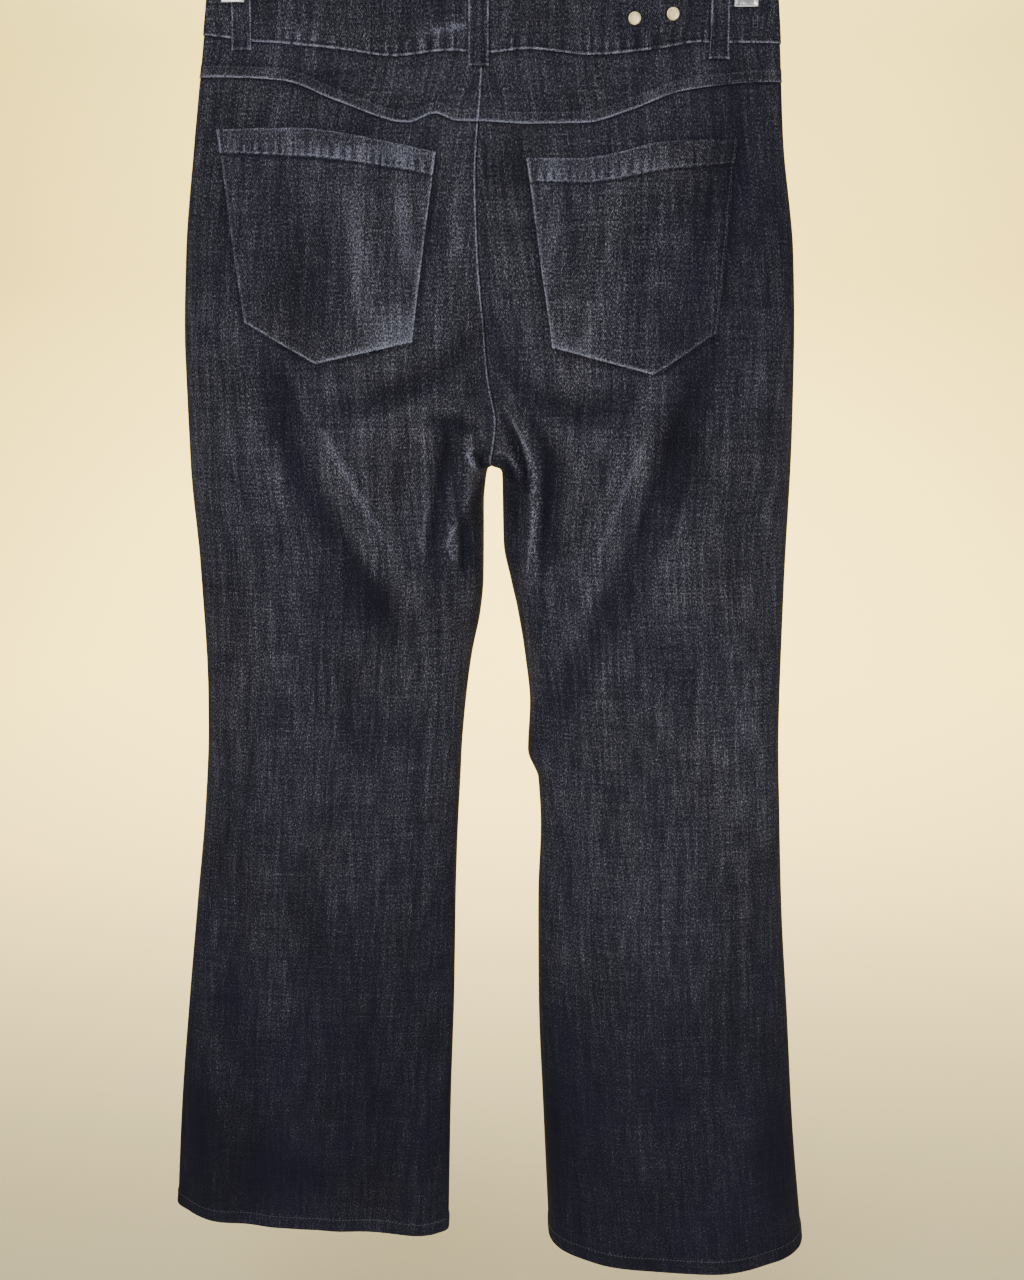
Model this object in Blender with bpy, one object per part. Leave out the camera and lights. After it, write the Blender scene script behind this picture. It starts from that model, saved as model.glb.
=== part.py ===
"""Bootcut trouser jeans hung by the waistband from a clip hanger.

Metres, +Z up. The origin is the inner top of the hanger's hook. The back of the jeans faces -Y,
the front faces +Y, and the wearer's left leg is at -X. Tables are in millimetres.

Each leg is two panels, back and front. A point of a panel is found from two numbers: `across`
runs from 0 at the side seam to 1 at the centre seam or the inseam, and z is its height.
"""

import math
from collections import namedtuple

import bmesh
import bpy
import numpy as np
from mathutils import Matrix

MM = 0.001
LEFT, RIGHT = -1, 1
BACK, FRONT = -1, 1
SIDE_NAMES = {LEFT: "left", RIGHT: "right"}

# Cloth
WALL = 1.6 * MM
BAND_WALL = 2.6 * MM
BAND_LIFT = 0.8 * MM
POCKET_WALL = 1.2 * MM
POCKET_BAND_WALL = 1.8 * MM
LOOP_WALL = 1.7 * MM
FLAP_WALL = 1.3 * MM
ZIP_WALL = 1.2 * MM
HEM_LIFT = 0.7 * MM
HEM_HEIGHT = 14 * MM
GAP = 0.3 * MM
HALF_GAP = GAP / 2

# Garment
BAND_HEIGHT = 42 * MM
CROTCH_Z = -483 * MM
CROTCH_CURVE = 75 * MM
EDGE_SHARE = 0.06
ROUNDNESS = 0.8
COLUMNS = 16
STEP = 1e-4
SEAM_EDGE = 1e-3
CUTTER_DEPTH = 150 * MM

# Hanger
CLIP_X = {LEFT: -188 * MM, RIGHT: 192 * MM}
CLIP_WIDTH = 18 * MM
CLIP_BOTTOM_Z = -143 * MM
CLIP_HALF_GRIP = 2.4 * MM
PINCH_FLAT = 13 * MM
PINCH_FADE = 24 * MM
PINCH_FLAT_Z = -146 * MM
PINCH_FADE_Z = 45 * MM
JAW_THICKNESS = 1.5 * MM
BAR_Z = -85 * MM
BAR_RADIUS = 2.5 * MM
BAR_HALF_LENGTH = 208 * MM
HOOK_INNER_RADIUS = 18 * MM
HOOK_WIRE_RADIUS = 2 * MM
COLLAR_SIZE = (16 * MM, 11 * MM, 14 * MM)
SLEEVE_RADIUS = 5.2 * MM
SLEEVE_LENGTH = 16.2 * MM

# A jaw's inner side above its lip: how far it stands off the sleeve, and its height.
JawRow = namedtuple("JawRow", "off z")
JAW_ROWS = [
    JawRow(2.5, -106),
    JawRow(2.3, -97),
    JawRow(0.3, -91),
    JawRow(0.3, -79),
    JawRow(3.8, -70),
    JawRow(8.8, -60),
]
JAW_LIP_TOP_Z = -117 * MM
JAW_COLUMNS = (-0.5, -0.17, 0.17, 0.5)

# The side seams, and how far the back and front panels stand out from the plane between them.
LegRow = namedtuple("LegRow", "z out back front")
LEG_ROWS = {
    LEFT: [
        LegRow(-118, 206, 11, 8),
        LegRow(-172, 214, 15, 12),
        LegRow(-240, 224, 28, 20),
        LegRow(-320, 234, 46, 30),
        LegRow(-400, 238.7, 54, 36),
        LegRow(-483, 239, 56, 40),
        LegRow(-560, 236, 51, 37),
        LegRow(-640, 235, 46, 33),
        LegRow(-700, 237, 42, 30),
        LegRow(-780, 244.5, 37, 28),
        LegRow(-860, 255.5, 33, 26),
        LegRow(-960, 269, 29, 24),
        LegRow(-1060, 281.5, 25, 23),
        LegRow(-1190, 294, 21, 22),
    ],
    RIGHT: [
        LegRow(-118, 213, 11, 8),
        LegRow(-172, 218.5, 15, 12),
        LegRow(-240, 224, 28, 20),
        LegRow(-320, 235, 46, 30),
        LegRow(-400, 239.2, 54, 36),
        LegRow(-483, 240.6, 56, 40),
        LegRow(-560, 240, 51, 37),
        LegRow(-640, 240.5, 47, 34),
        LegRow(-700, 241.6, 44, 31),
        LegRow(-780, 246.2, 42, 28),
        LegRow(-860, 251.6, 43, 26),
        LegRow(-960, 261, 48, 25),
        LegRow(-1060, 270, 54, 25),
        LegRow(-1190, 285.5, 61, 25),
    ],
}

# The inseams below the crotch.
InseamRow = namedtuple("InseamRow", "z left right")
INSEAM_ROWS = [
    InseamRow(-483, 4.0, 4.0),
    InseamRow(-489, 0.2, 8.6),
    InseamRow(-497, -1.6, 10.8),
    InseamRow(-512, -2.8, 11.8),
    InseamRow(-545, -3.0, 13.0),
    InseamRow(-575, -3.4, 19.0),
    InseamRow(-600, -5.7, 24.5),
    InseamRow(-640, -13.6, 30.9),
    InseamRow(-680, -18.9, 34.8),
    InseamRow(-720, -22.5, 33.2),
    InseamRow(-745, -23.8, 42.0),
    InseamRow(-790, -26.5, 44.4),
    InseamRow(-850, -28.9, 42.6),
    InseamRow(-950, -31.4, 43.5),
    InseamRow(-1050, -35.4, 47.7),
    InseamRow(-1190, -39.2, 54.3),
]

# The centre seams, from the waistband to the crotch.
CentreRow = namedtuple("CentreRow", "z back front")
CENTRE_ROWS = [
    CentreRow(-118, 0, 0),
    CentreRow(-190, -1, 0),
    CentreRow(-265, -5, 0.5),
    CentreRow(-320, -3, 1),
    CentreRow(-370, 1, 2),
    CentreRow(-414, 5, 2.5),
    CentreRow(-446, 10, 3),
    CentreRow(-483, 4, 4),
]

# Where the centre seam cuts the full section of a leg: 500 at its crown, 0 at its inner edge.
CrownRow = namedtuple("CrownRow", "z place")
CROWN_ROWS = [
    CrownRow(-118, 480),
    CrownRow(-190, 450),
    CrownRow(-300, 360),
    CrownRow(-400, 300),
    CrownRow(-440, 185),
    CrownRow(-483, 0),
]

# Seams that run round the hips: the waistband's lower edge and the yoke's lower edge.
SeamRow = namedtuple("SeamRow", "x z")
BAND_SEAM = {
    BACK: [
        SeamRow(-240, -160.5),
        SeamRow(-213, -162),
        SeamRow(-170, -168),
        SeamRow(-105, -175.5),
        SeamRow(-67, -180.5),
        SeamRow(-25, -177),
        SeamRow(0, -179),
        SeamRow(32, -176.5),
        SeamRow(80, -181),
        SeamRow(124, -177.3),
        SeamRow(160, -172.4),
        SeamRow(218, -172),
        SeamRow(240, -172),
    ],
    FRONT: [
        SeamRow(-240, -160.5),
        SeamRow(-213, -162),
        SeamRow(-100, -179),
        SeamRow(0, -188),
        SeamRow(100, -184),
        SeamRow(218, -172),
        SeamRow(240, -172),
    ],
}
YOKE_SEAM = [
    SeamRow(-240, -191),
    SeamRow(-217, -192),
    SeamRow(-151, -196.6),
    SeamRow(-108, -212.5),
    SeamRow(-56, -228),
    SeamRow(-36, -221.5),
    SeamRow(-20, -227),
    SeamRow(0, -227.5),
    SeamRow(37, -229.5),
    SeamRow(76, -229),
    SeamRow(106, -221),
    SeamRow(147, -206.5),
    SeamRow(200, -200),
    SeamRow(240, -198),
]
HEM = {
    LEFT: [SeamRow(-295, -1167), SeamRow(-250, -1173), SeamRow(-39, -1187)],
    RIGHT: [SeamRow(54, -1183), SeamRow(286, -1179)],
}

# Folds: a path through three points, half its width, and how far it stands out (minus: sinks in).
Fold = namedtuple("Fold", "x0 z0 x1 z1 x2 z2 width height")
FOLDS = {
    BACK: [
        Fold(-170, -385, -123, -515, -70, -625, 13, -7.0),
        Fold(-146, -425, -91, -525, -36, -608, 17, 5.0),
        Fold(174, -378, 130, -525, 36, -716, 14, -7.0),
        Fold(140, -410, 100, -530, 26, -665, 18, 4.0),
        Fold(8, -362, -40, -413, -128, -443, 10, -6.0),
        Fold(-4, -398, -52, -438, -120, -468, 14, 4.0),
        Fold(6, -390, 60, -437, 118, -419, 10, -6.0),
        Fold(20, -425, 62, -463, 112, -450, 14, 4.0),
        Fold(-8, -455, -13, -500, -24, -556, 7, 4.0),
        Fold(-19, -440, -31, -492, -43, -572, 7, -5.0),
        Fold(-40, -448, -45, -501, -50, -556, 9, 4.0),
        Fold(18, -446, 38, -490, 33, -585, 8, 4.5),
        Fold(52, -448, 51, -504, 46, -565, 9, -5.0),
        Fold(-37, -238, -36, -290, -33, -345, 10, -2.5),
        Fold(29, -228, 8, -265, 2, -310, 9, -2.5),
        Fold(174, -250, 165, -308, 158, -372, 14, -3.0),
        Fold(-150, -245, -141, -307, -124, -392, 14, -3.0),
        Fold(-104, -630, -112, -710, -106, -820, 24, -4.0),
        Fold(-170, -690, -180, -800, -196, -930, 26, 3.5),
        Fold(150, -690, 160, -790, 170, -900, 26, -3.5),
        Fold(40, -700, 66, -722, 104, -736, 9, -3.0),
        Fold(-252, -960, -254, -1090, -250, -1250, 24, 8.0),
        Fold(-116, -930, -114, -1070, -110, -1250, 28, -6.0),
        Fold(-68, -1010, -66, -1100, -64, -1250, 18, 4.0),
        Fold(150, -960, 152, -1080, 150, -1250, 24, -4.0),
        Fold(205, -980, 208, -1090, 212, -1250, 24, 4.0),
    ],
    FRONT: [
        Fold(-176, -330, -118, -420, -40, -478, 14, -6.0),
        Fold(-182, -375, -120, -465, -48, -520, 16, 5.0),
        Fold(178, -340, 122, -425, 46, -476, 14, -6.0),
        Fold(184, -385, 126, -468, 54, -522, 16, 5.0),
        Fold(-60, -430, -80, -540, -96, -660, 15, -5.0),
        Fold(66, -430, 88, -545, 104, -670, 15, -5.0),
        Fold(-20, -400, -24, -450, -30, -520, 9, -3.5),
        Fold(22, -400, 28, -450, 34, -520, 9, -3.5),
        Fold(-60, -700, -110, -730, -170, -722, 13, -4.0),
        Fold(70, -708, 124, -736, 186, -724, 13, -4.0),
        Fold(-150, -760, -160, -900, -172, -1060, 26, 4.0),
        Fold(156, -770, 162, -900, 168, -1060, 26, 4.0),
        Fold(-120, -960, -118, -1080, -116, -1250, 26, -5.0),
        Fold(120, -960, 122, -1080, 126, -1250, 26, -4.0),
    ],
}
FOLD_STEPS = 10

# Rows of points down a leg panel, between its top seam and its hem.
LEG_LEVELS = {
    BACK: [-210, -224, -242, -262, -284, -308, -332, -354, -374, -392, -408, -422, -436, -448, -458,
           -467, -475, -483, -491, -502, -518, -540, -566, -596, -628, -660, -692, -722, -756, -800,
           -850, -905, -960, -1020, -1080, -1135, -1165, -1180],
    FRONT: [-180, -194, -216, -242, -270, -298, -326, -354, -382, -408, -430, -448, -462, -473, -483,
            -491, -502, -518, -542, -572, -606, -640, -674, -706, -740, -785, -840, -900, -960,
            -1020, -1080, -1135, -1165, -1180],
}
TOP_FADE = {BACK: 150 * MM, FRONT: 270 * MM}
BOTTOM_FADE = 120 * MM

# Front pockets
SCOOP_WIDTH = 100 * MM
SCOOP_LOW_Z = -247 * MM
SCOOP_POWER = 3
FACING_UNDERLAP = 16 * MM
FACING_RAMP = 14 * MM

# Back pockets: the outline in x and z, and the lower edge of the folded band along its top.
PocketRow = namedtuple("PocketRow", "x z")
POCKET_OUTLINE = {
    LEFT: [
        PocketRow(-202, -230.6),
        PocketRow(-134.8, -231.1),
        PocketRow(-108, -234.4),
        PocketRow(-82.6, -239.1),
        PocketRow(-35, -249.2),
        PocketRow(-52.3, -386.6),
        PocketRow(-125.8, -403.2),
        PocketRow(-180.6, -372.3),
    ],
    RIGHT: [
        PocketRow(31.7, -254.2),
        PocketRow(71.5, -254.4),
        PocketRow(97.8, -250.6),
        PocketRow(132, -242.6),
        PocketRow(187.8, -240.7),
        PocketRow(174.8, -379.7),
        PocketRow(128.1, -410.9),
        PocketRow(52.2, -390.6),
    ],
}
POCKET_TOP_POINTS = 5
POCKET_BAND_HEIGHT = 17.5 * MM
POCKET_BAND_INSET = {LEFT: (2.2 * MM, 2.2 * MM), RIGHT: (2.6 * MM, 2.2 * MM)}
ROWS_UNDER_POCKET = 12

# Belt loops: middle, face of the band, and how far below the band's seam they end.
LoopRow = namedtuple("LoopRow", "name x face tail")
LOOP_ROWS = [
    LoopRow("belt_loop_centre_back", -4, BACK, 9),
    LoopRow("belt_loop_back_left", -182.4, BACK, 8),
    LoopRow("belt_loop_back_right", 172.6, BACK, 12),
    LoopRow("belt_loop_front_left", -128, FRONT, 9),
    LoopRow("belt_loop_front_right", 128, FRONT, 9),
]
LOOP_WIDTH = 15.4 * MM
LOOP_TOP_INSET = 1 * MM

# Front closure
FLAP_EDGE_X = 1.4 * MM
FLAP_TOP_Z = -187.6 * MM
FLAP_WIDTH = 38 * MM
FLAP_LENGTH = 148 * MM
FLAP_CORNER = 42 * MM
ROWS_UNDER_FLAP = 9
ZIP_TOP_Z = -196 * MM
ZIP_HALF_WIDTH = 13 * MM
ZIP_LENGTH = 140 * MM
TAB_COLUMNS = (0.875, 0.8125, 0.77)
BUTTON_X = 13 * MM
BUTTON_RADIUS = 8.5 * MM
BUTTON_HEIGHT = 3.2 * MM

# Rivets
RivetRow = namedtuple("RivetRow", "name side face x z radius lift")
RIVET_ROWS = [
    RivetRow("waistband_rivet_inner", RIGHT, BACK, 110.2, -156.2, 4.8, BAND_LIFT),
    RivetRow("waistband_rivet_outer", RIGHT, BACK, 138.1, -153.2, 4.8, BAND_LIFT),
    RivetRow("front_pocket_rivet_side_left", LEFT, FRONT, -213, -255, 4.2, 0.0),
    RivetRow("front_pocket_rivet_side_right", RIGHT, FRONT, 213, -255, 4.2, 0.0),
    RivetRow("front_pocket_rivet_top_left", LEFT, FRONT, -107, -192, 4.2, 0.0),
    RivetRow("front_pocket_rivet_top_right", RIGHT, FRONT, 107, -197, 4.2, 0.0),
]
RIVET_HEIGHT = 1.6 * MM
RIVET_SEAT = 0.5 * MM
BEVEL_SHARE = 0.45

# Colours
Finish = namedtuple("Finish", "colour roughness metallic")
DENIM = Finish((0.026, 0.027, 0.036), 0.9, 0.0)
DENIM_TAPE = Finish((0.018, 0.018, 0.022), 0.8, 0.0)
RIVET_METAL = Finish((0.60, 0.53, 0.42), 0.35, 1.0)
STEEL = Finish((0.62, 0.63, 0.64), 0.2, 1.0)


def table_curve(rows, column, at, key="z"):
    """Value of a table's column at each place, as a smooth curve with no overshoot, in metres."""
    place = np.array([getattr(row, key) for row in rows], float)
    value = np.array([getattr(row, column) for row in rows], float)
    order = np.argsort(place)
    place, value = place[order] * MM, value[order]
    width = np.diff(place)
    slope = np.diff(value) / width
    turn = slope[:-1] * slope[1:] > 0
    total = np.where(turn, slope[:-1] + slope[1:], 1.0)
    tangent = np.concatenate(
        [slope[:1], np.where(turn, 2 * slope[:-1] * slope[1:] / total, 0.0), slope[-1:]]
    )
    at = np.clip(at, place[0], place[-1])
    i = np.clip(np.searchsorted(place, at) - 1, 0, len(width) - 1)
    t = (at - place[i]) / width[i]
    start = value[i] * (1 + 2 * t) * (1 - t) ** 2 + tangent[i] * width[i] * t * (1 - t) ** 2
    end = value[i + 1] * t * t * (3 - 2 * t) + tangent[i + 1] * width[i] * t * t * (t - 1)
    return (start + end) * MM


def smooth(t):
    """0 to 1 with level ends."""
    t = np.clip(t, 0.0, 1.0)
    return t * t * (3 - 2 * t)


def share_across(across):
    """Share of the way from the side seam to the centre, with close columns at both ends."""
    return (1 - np.cos(math.pi * across)) / 2


def section_height(z, share):
    """Height of a section as a share of its depth. The seat's crown runs into each leg's own."""
    seam = np.where(z > CROTCH_Z, table_curve(CROWN_ROWS, "place", z), 0.0)
    place = np.sqrt(seam**2 + (1 - seam**2) * (1 - share) ** 2)
    return np.maximum(4 * place * (1 - place), 0.0) ** (ROUNDNESS / 2)


def end_x(side, face, z):
    """The centre seam's x above the crotch, and the inseam's x below it."""
    centre = table_curve(CENTRE_ROWS, "back" if face == BACK else "front", z)
    inseam = table_curve(INSEAM_ROWS, SIDE_NAMES[side], z)
    return np.where(z > CROTCH_Z, centre, inseam)


def plain_form(side, face, across, z):
    """Points of a panel's outer surface without folds."""
    out = side * table_curve(LEG_ROWS[side], "out", z)
    depth = table_curve(LEG_ROWS[side], "back" if face == BACK else "front", z)
    share = share_across(across)
    x = out + (end_x(side, face, z) - out) * share
    y = depth * section_height(z, share)
    grip = smooth(1 - (PINCH_FLAT_Z - z) / PINCH_FADE_Z)
    grip = grip * smooth(1 - (np.abs(x - CLIP_X[side]) - PINCH_FLAT) / PINCH_FADE)
    y = np.where(y > CLIP_HALF_GRIP, y + (CLIP_HALF_GRIP - y) * grip, y)
    return np.stack([x, face * y, z + 0 * x], axis=-1)


def fold_relief(face, x, z):
    """How far the folds move the cloth out at x, z."""
    relief = np.zeros(np.shape(x))
    t = np.linspace(0.0, 1.0, FOLD_STEPS + 1)
    for fold in FOLDS[face]:
        ends = np.array([[fold.x0, fold.z0], [fold.x1, fold.z1], [fold.x2, fold.z2]]) * MM
        weights = np.stack([(1 - t) * (1 - 2 * t), 4 * t * (1 - t), t * (2 * t - 1)], axis=-1)
        path = weights @ ends
        place = np.stack([x, z], axis=-1)[..., None, :] - path[:-1]
        run = np.diff(path, axis=0)
        along = np.clip((place * run).sum(-1) / (run * run).sum(-1), 0.0, 1.0)
        away = np.linalg.norm(place - along[..., None] * run, axis=-1)
        nearest = away.argmin(axis=-1)[..., None]
        distance = np.take_along_axis(away, nearest, -1)[..., 0] / (fold.width * MM)
        reach = (nearest + np.take_along_axis(along, nearest, -1))[..., 0] / FOLD_STEPS
        strength = np.sqrt(np.clip(np.sin(math.pi * np.clip(reach, 0.0, 1.0)), 0.0, 1.0))
        relief = relief + fold.height * MM * strength * np.exp(-(distance**2))
    return relief


def form(side, face, across, z):
    """Points of a panel's outer surface, with its folds. The seams stay where they are."""
    base = plain_form(side, face, across, z)
    step = plain_form(side, face, np.minimum(across + STEP, 1.0), z)
    step = step - plain_form(side, face, np.maximum(across - STEP, 0.0), z)
    run = np.maximum(np.hypot(step[..., 0], step[..., 1]), 1e-12)
    normal_x = side * face * step[..., 1] / run
    normal_y = face * np.abs(step[..., 0]) / run
    share = share_across(across)
    inner = smooth((1 - share) / EDGE_SHARE)
    open_seam = smooth((z - CROTCH_Z) / CROTCH_CURVE)
    relief = fold_relief(face, base[..., 0], z)
    relief = relief * smooth(share / EDGE_SHARE) * np.maximum(inner, open_seam)
    base[..., 0] += relief * normal_x * inner
    base[..., 1] += relief * normal_y
    return base


def outward(side, face, across, z):
    """Unit normals of the form. At a seam they lie in the seam's own plane."""
    inner = np.clip(across, SEAM_EDGE, 1 - SEAM_EDGE)
    turn = form(side, face, inner + STEP, z) - form(side, face, inner - STEP, z)
    rise = form(side, face, inner, z + STEP) - form(side, face, inner, z - STEP)
    normal = side * face * np.cross(turn, rise)
    at_end = across > 1 - SEAM_EDGE
    normal[across < SEAM_EDGE, 1] = 0.0
    normal[at_end & (z > CROTCH_Z + STEP), 0] = 0.0
    normal[at_end & (z <= CROTCH_Z + STEP), 1] = 0.0
    normal[at_end & (np.abs(z - CROTCH_Z) <= STEP)] = (0.0, 0.0, -1.0)
    return normal / np.linalg.norm(normal, axis=-1, keepdims=True)


def seamed(side, face, across, z, points):
    """The points with half a seam's gap taken off at the side, the centre and the inseam."""
    points = points.copy()
    at_end = across > 1 - SEAM_EDGE
    points[across < SEAM_EDGE, 1] = face * HALF_GAP
    points[at_end & (z >= CROTCH_Z - STEP), 0] += side * HALF_GAP
    points[at_end & (z <= CROTCH_Z + STEP), 1] = face * HALF_GAP
    return points


def layer(side, face, across, z, lift):
    """Points of the form moved out by lift."""
    points = form(side, face, across, z)
    points = seamed(side, face, across, z, points)
    return points + outward(side, face, across, z) * np.expand_dims(lift + 0 * z, -1)


def seam_height(side, face, across, rows):
    """Height of a seam at each column: the seam is given over x, so the height is found in steps."""
    z = table_curve(rows, "z", side * 0.1 + 0 * across, key="x")
    for _ in range(8):
        z = table_curve(rows, "z", plain_form(side, face, across, z)[..., 0], key="x")
    return z


def new_object(name, data, finish):
    """An object in the scene from a mesh or a curve, in its own material."""
    obj = bpy.data.objects.new(name, data)
    bpy.context.scene.collection.objects.link(obj)
    material = bpy.data.materials.new(name)
    material.use_nodes = True
    shader = material.node_tree.nodes["Principled BSDF"]
    shader.inputs["Base Color"].default_value = (*finish.colour, 1.0)
    shader.inputs["Roughness"].default_value = finish.roughness
    shader.inputs["Metallic"].default_value = finish.metallic
    data.materials.append(material)
    return obj


def wall_object(name, outer, inner, finish, closed_round=False):
    """A closed wall between two grids of points."""
    rows, columns = outer.shape[:2]
    mesh = bpy.data.meshes.new(name)
    bm = bmesh.new()
    skins = []
    for grid in (outer, inner):
        skins.append([[bm.verts.new(point) for point in row] for row in grid])
    spans = [(j, j + 1) for j in range(columns - 1)]
    if closed_round:
        spans.append((columns - 1, 0))
    for skin in skins:
        for i in range(rows - 1):
            for j, k in spans:
                bm.faces.new((skin[i][j], skin[i][k], skin[i + 1][k], skin[i + 1][j]))
    out, back = skins
    for i in (0, rows - 1):
        for j, k in spans:
            bm.faces.new((out[i][j], out[i][k], back[i][k], back[i][j]))
    if not closed_round:
        for j in (0, columns - 1):
            for i in range(rows - 1):
                bm.faces.new((out[i][j], out[i + 1][j], back[i + 1][j], back[i][j]))
    bmesh.ops.triangulate(bm, faces=bm.faces)
    bmesh.ops.recalc_face_normals(bm, faces=bm.faces)
    bm.to_mesh(mesh)
    bm.free()
    mesh.shade_smooth()
    return new_object(name, mesh, finish)


def across_columns(start=0.0, end=1.0, count=COLUMNS):
    """Columns of a panel, evenly spaced round its section."""
    return np.linspace(start, end, count + 1)


def scoop_height(side, across, seam):
    """Height of the front pocket's mouth at each column, up to the waistband's seam."""
    place = plain_form(side, FRONT, across, SCOOP_LOW_Z + 0 * across)[..., 0]
    edge = plain_form(side, FRONT, 0 * across, SCOOP_LOW_Z + 0 * across)[..., 0]
    run = np.abs(place - edge) / SCOOP_WIDTH
    return np.where(run < 1.0, SCOOP_LOW_Z + (seam - SCOOP_LOW_Z) * run**SCOOP_POWER, seam)


def leg_grid(side, face):
    """Columns and heights of a leg panel's points, from its top seam to its hem."""
    across = across_columns()
    if face == BACK:
        top = seam_height(side, BACK, across, YOKE_SEAM) - HALF_GAP
    else:
        seam = seam_height(side, FRONT, across, BAND_SEAM[FRONT]) - HALF_GAP
        top = scoop_height(side, across, seam)
    bottom = seam_height(side, face, across, HEM[side])
    levels = np.array(LEG_LEVELS[face]) * MM
    top_fade = np.clip(1 - (levels[0] - levels) / TOP_FADE[face], 0.0, 1.0)[:, None]
    bottom_fade = np.clip(1 - (levels - levels[-1]) / BOTTOM_FADE, 0.0, 1.0)[:, None]
    z = levels[:, None] + (top - levels[0]) * top_fade + (bottom - levels[-1]) * bottom_fade
    return np.broadcast_to(across, z.shape).copy(), z


def hem_lift(side, face, across, z):
    """The folded hem is thicker than the leg above it."""
    bottom = seam_height(side, face, across[-1], HEM[side])
    return np.where(z < bottom + HEM_HEIGHT, HEM_LIFT, 0.0)


def leg_panel(side, face):
    """One leg panel, with its folded hem."""
    across, z = leg_grid(side, face)
    outer = layer(side, face, across, z, hem_lift(side, face, across, z))
    inner = layer(side, face, across, z, -WALL)
    name = "back_leg_" if face == BACK else "front_leg_"
    return wall_object(name + SIDE_NAMES[side], outer, inner, DENIM)


def yoke(side):
    """One half of the curved yoke, between the waistband and the back panel."""
    across = across_columns()
    top = seam_height(side, BACK, across, BAND_SEAM[BACK]) - HALF_GAP
    bottom = seam_height(side, BACK, across, YOKE_SEAM) + HALF_GAP
    z = top + (bottom - top) * np.linspace(0.0, 1.0, 4)[:, None]
    across = np.broadcast_to(across, z.shape).copy()
    outer = layer(side, BACK, across, z, 0.0)
    inner = layer(side, BACK, across, z, -WALL)
    return wall_object("yoke_" + SIDE_NAMES[side], outer, inner, DENIM)


def pocket_facing(side):
    """The cloth behind a front pocket's mouth: level with the seams, and under the panel below."""
    columns = across_columns()[:11]
    seam = seam_height(side, FRONT, columns, BAND_SEAM[FRONT]) - HALF_GAP
    mouth = scoop_height(side, columns, seam)
    bottom = np.minimum(mouth, seam - FACING_UNDERLAP) - FACING_UNDERLAP
    z = seam + (bottom - seam) * np.linspace(0.0, 1.0, 9)[:, None]
    across = np.broadcast_to(columns, z.shape).copy()
    under = smooth(1 - (z - mouth - FACING_RAMP / 2) / FACING_RAMP)
    lift = -(WALL + 2 * GAP) * under
    outer = layer(side, FRONT, across, z, lift)
    inner = layer(side, FRONT, across, z, lift - WALL)
    return wall_object("front_pocket_facing_" + SIDE_NAMES[side], outer, inner, DENIM)


def band_strip(side, face, columns, lift):
    """Outer and inner points of the waistband over these columns, top row first."""
    seam = seam_height(side, face, columns, BAND_SEAM[face]) + HALF_GAP
    z = seam + BAND_HEIGHT * np.array([1.0, 0.5, 0.0])[:, None]
    across = np.broadcast_to(columns, z.shape).copy()
    outer = layer(side, face, across, z, lift)
    inner = layer(side, face, across, z, lift - BAND_WALL)
    return outer, inner


def waistband(side):
    """One half of the waistband, from the centre back round the side to the centre front."""
    columns = across_columns()
    under = BAND_LIFT - BAND_WALL - GAP
    lift = np.full(len(columns) - 1, BAND_LIFT)
    if side == LEFT:
        lift[-2:] = under
    parts = [
        band_strip(side, BACK, columns[::-1], BAND_LIFT),
        band_strip(side, FRONT, columns[1:], lift),
    ]
    if side == LEFT:
        parts.append(band_strip(RIGHT, FRONT, np.array(TAB_COLUMNS), under))
    outer = np.concatenate([part[0] for part in parts], axis=1)
    inner = np.concatenate([part[1] for part in parts], axis=1)
    middle = len(columns) - 1
    for skin in (outer, inner):
        skin[:, middle, 1] = 0.0
    return wall_object("waistband_" + SIDE_NAMES[side], outer, inner, DENIM)


def prism(name, outline, near, far):
    """A hidden cutter: an outline in x and z, from one y to another."""
    bm = bmesh.new()
    first = [bm.verts.new((x, near, z)) for x, z in outline]
    bm.faces.new(first)
    extruded = bmesh.ops.extrude_face_region(bm, geom=bm.faces[:])
    moved = [item for item in extruded["geom"] if isinstance(item, bmesh.types.BMVert)]
    bmesh.ops.translate(bm, verts=moved, vec=(0.0, far - near, 0.0))
    bmesh.ops.recalc_face_normals(bm, faces=bm.faces)
    mesh = bpy.data.meshes.new(name)
    bm.to_mesh(mesh)
    bm.free()
    return hidden(new_object(name, mesh, DENIM))


def hidden(obj):
    """The object as a guide that other objects use."""
    obj.hide_render = True
    obj.display_type = "WIRE"
    return obj


def boolean(obj, other, operation):
    """Join the object with another, or cut it."""
    modifier = obj.modifiers.new(operation.title(), "BOOLEAN")
    modifier.operation = operation
    modifier.object = other
    modifier.solver = "EXACT"


def patch(name, side, face, across, z, low, high, outline):
    """A piece that lies on a panel: the panel's points moved out, cut to an outline."""
    outer = layer(side, face, across, z, high)
    inner = layer(side, face, across, z, low)
    piece = wall_object(name, outer, inner, DENIM)
    cutter = prism(name + "_outline", outline, 0.0, face * CUTTER_DEPTH)
    boolean(piece, cutter, "INTERSECT")
    return piece


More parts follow.
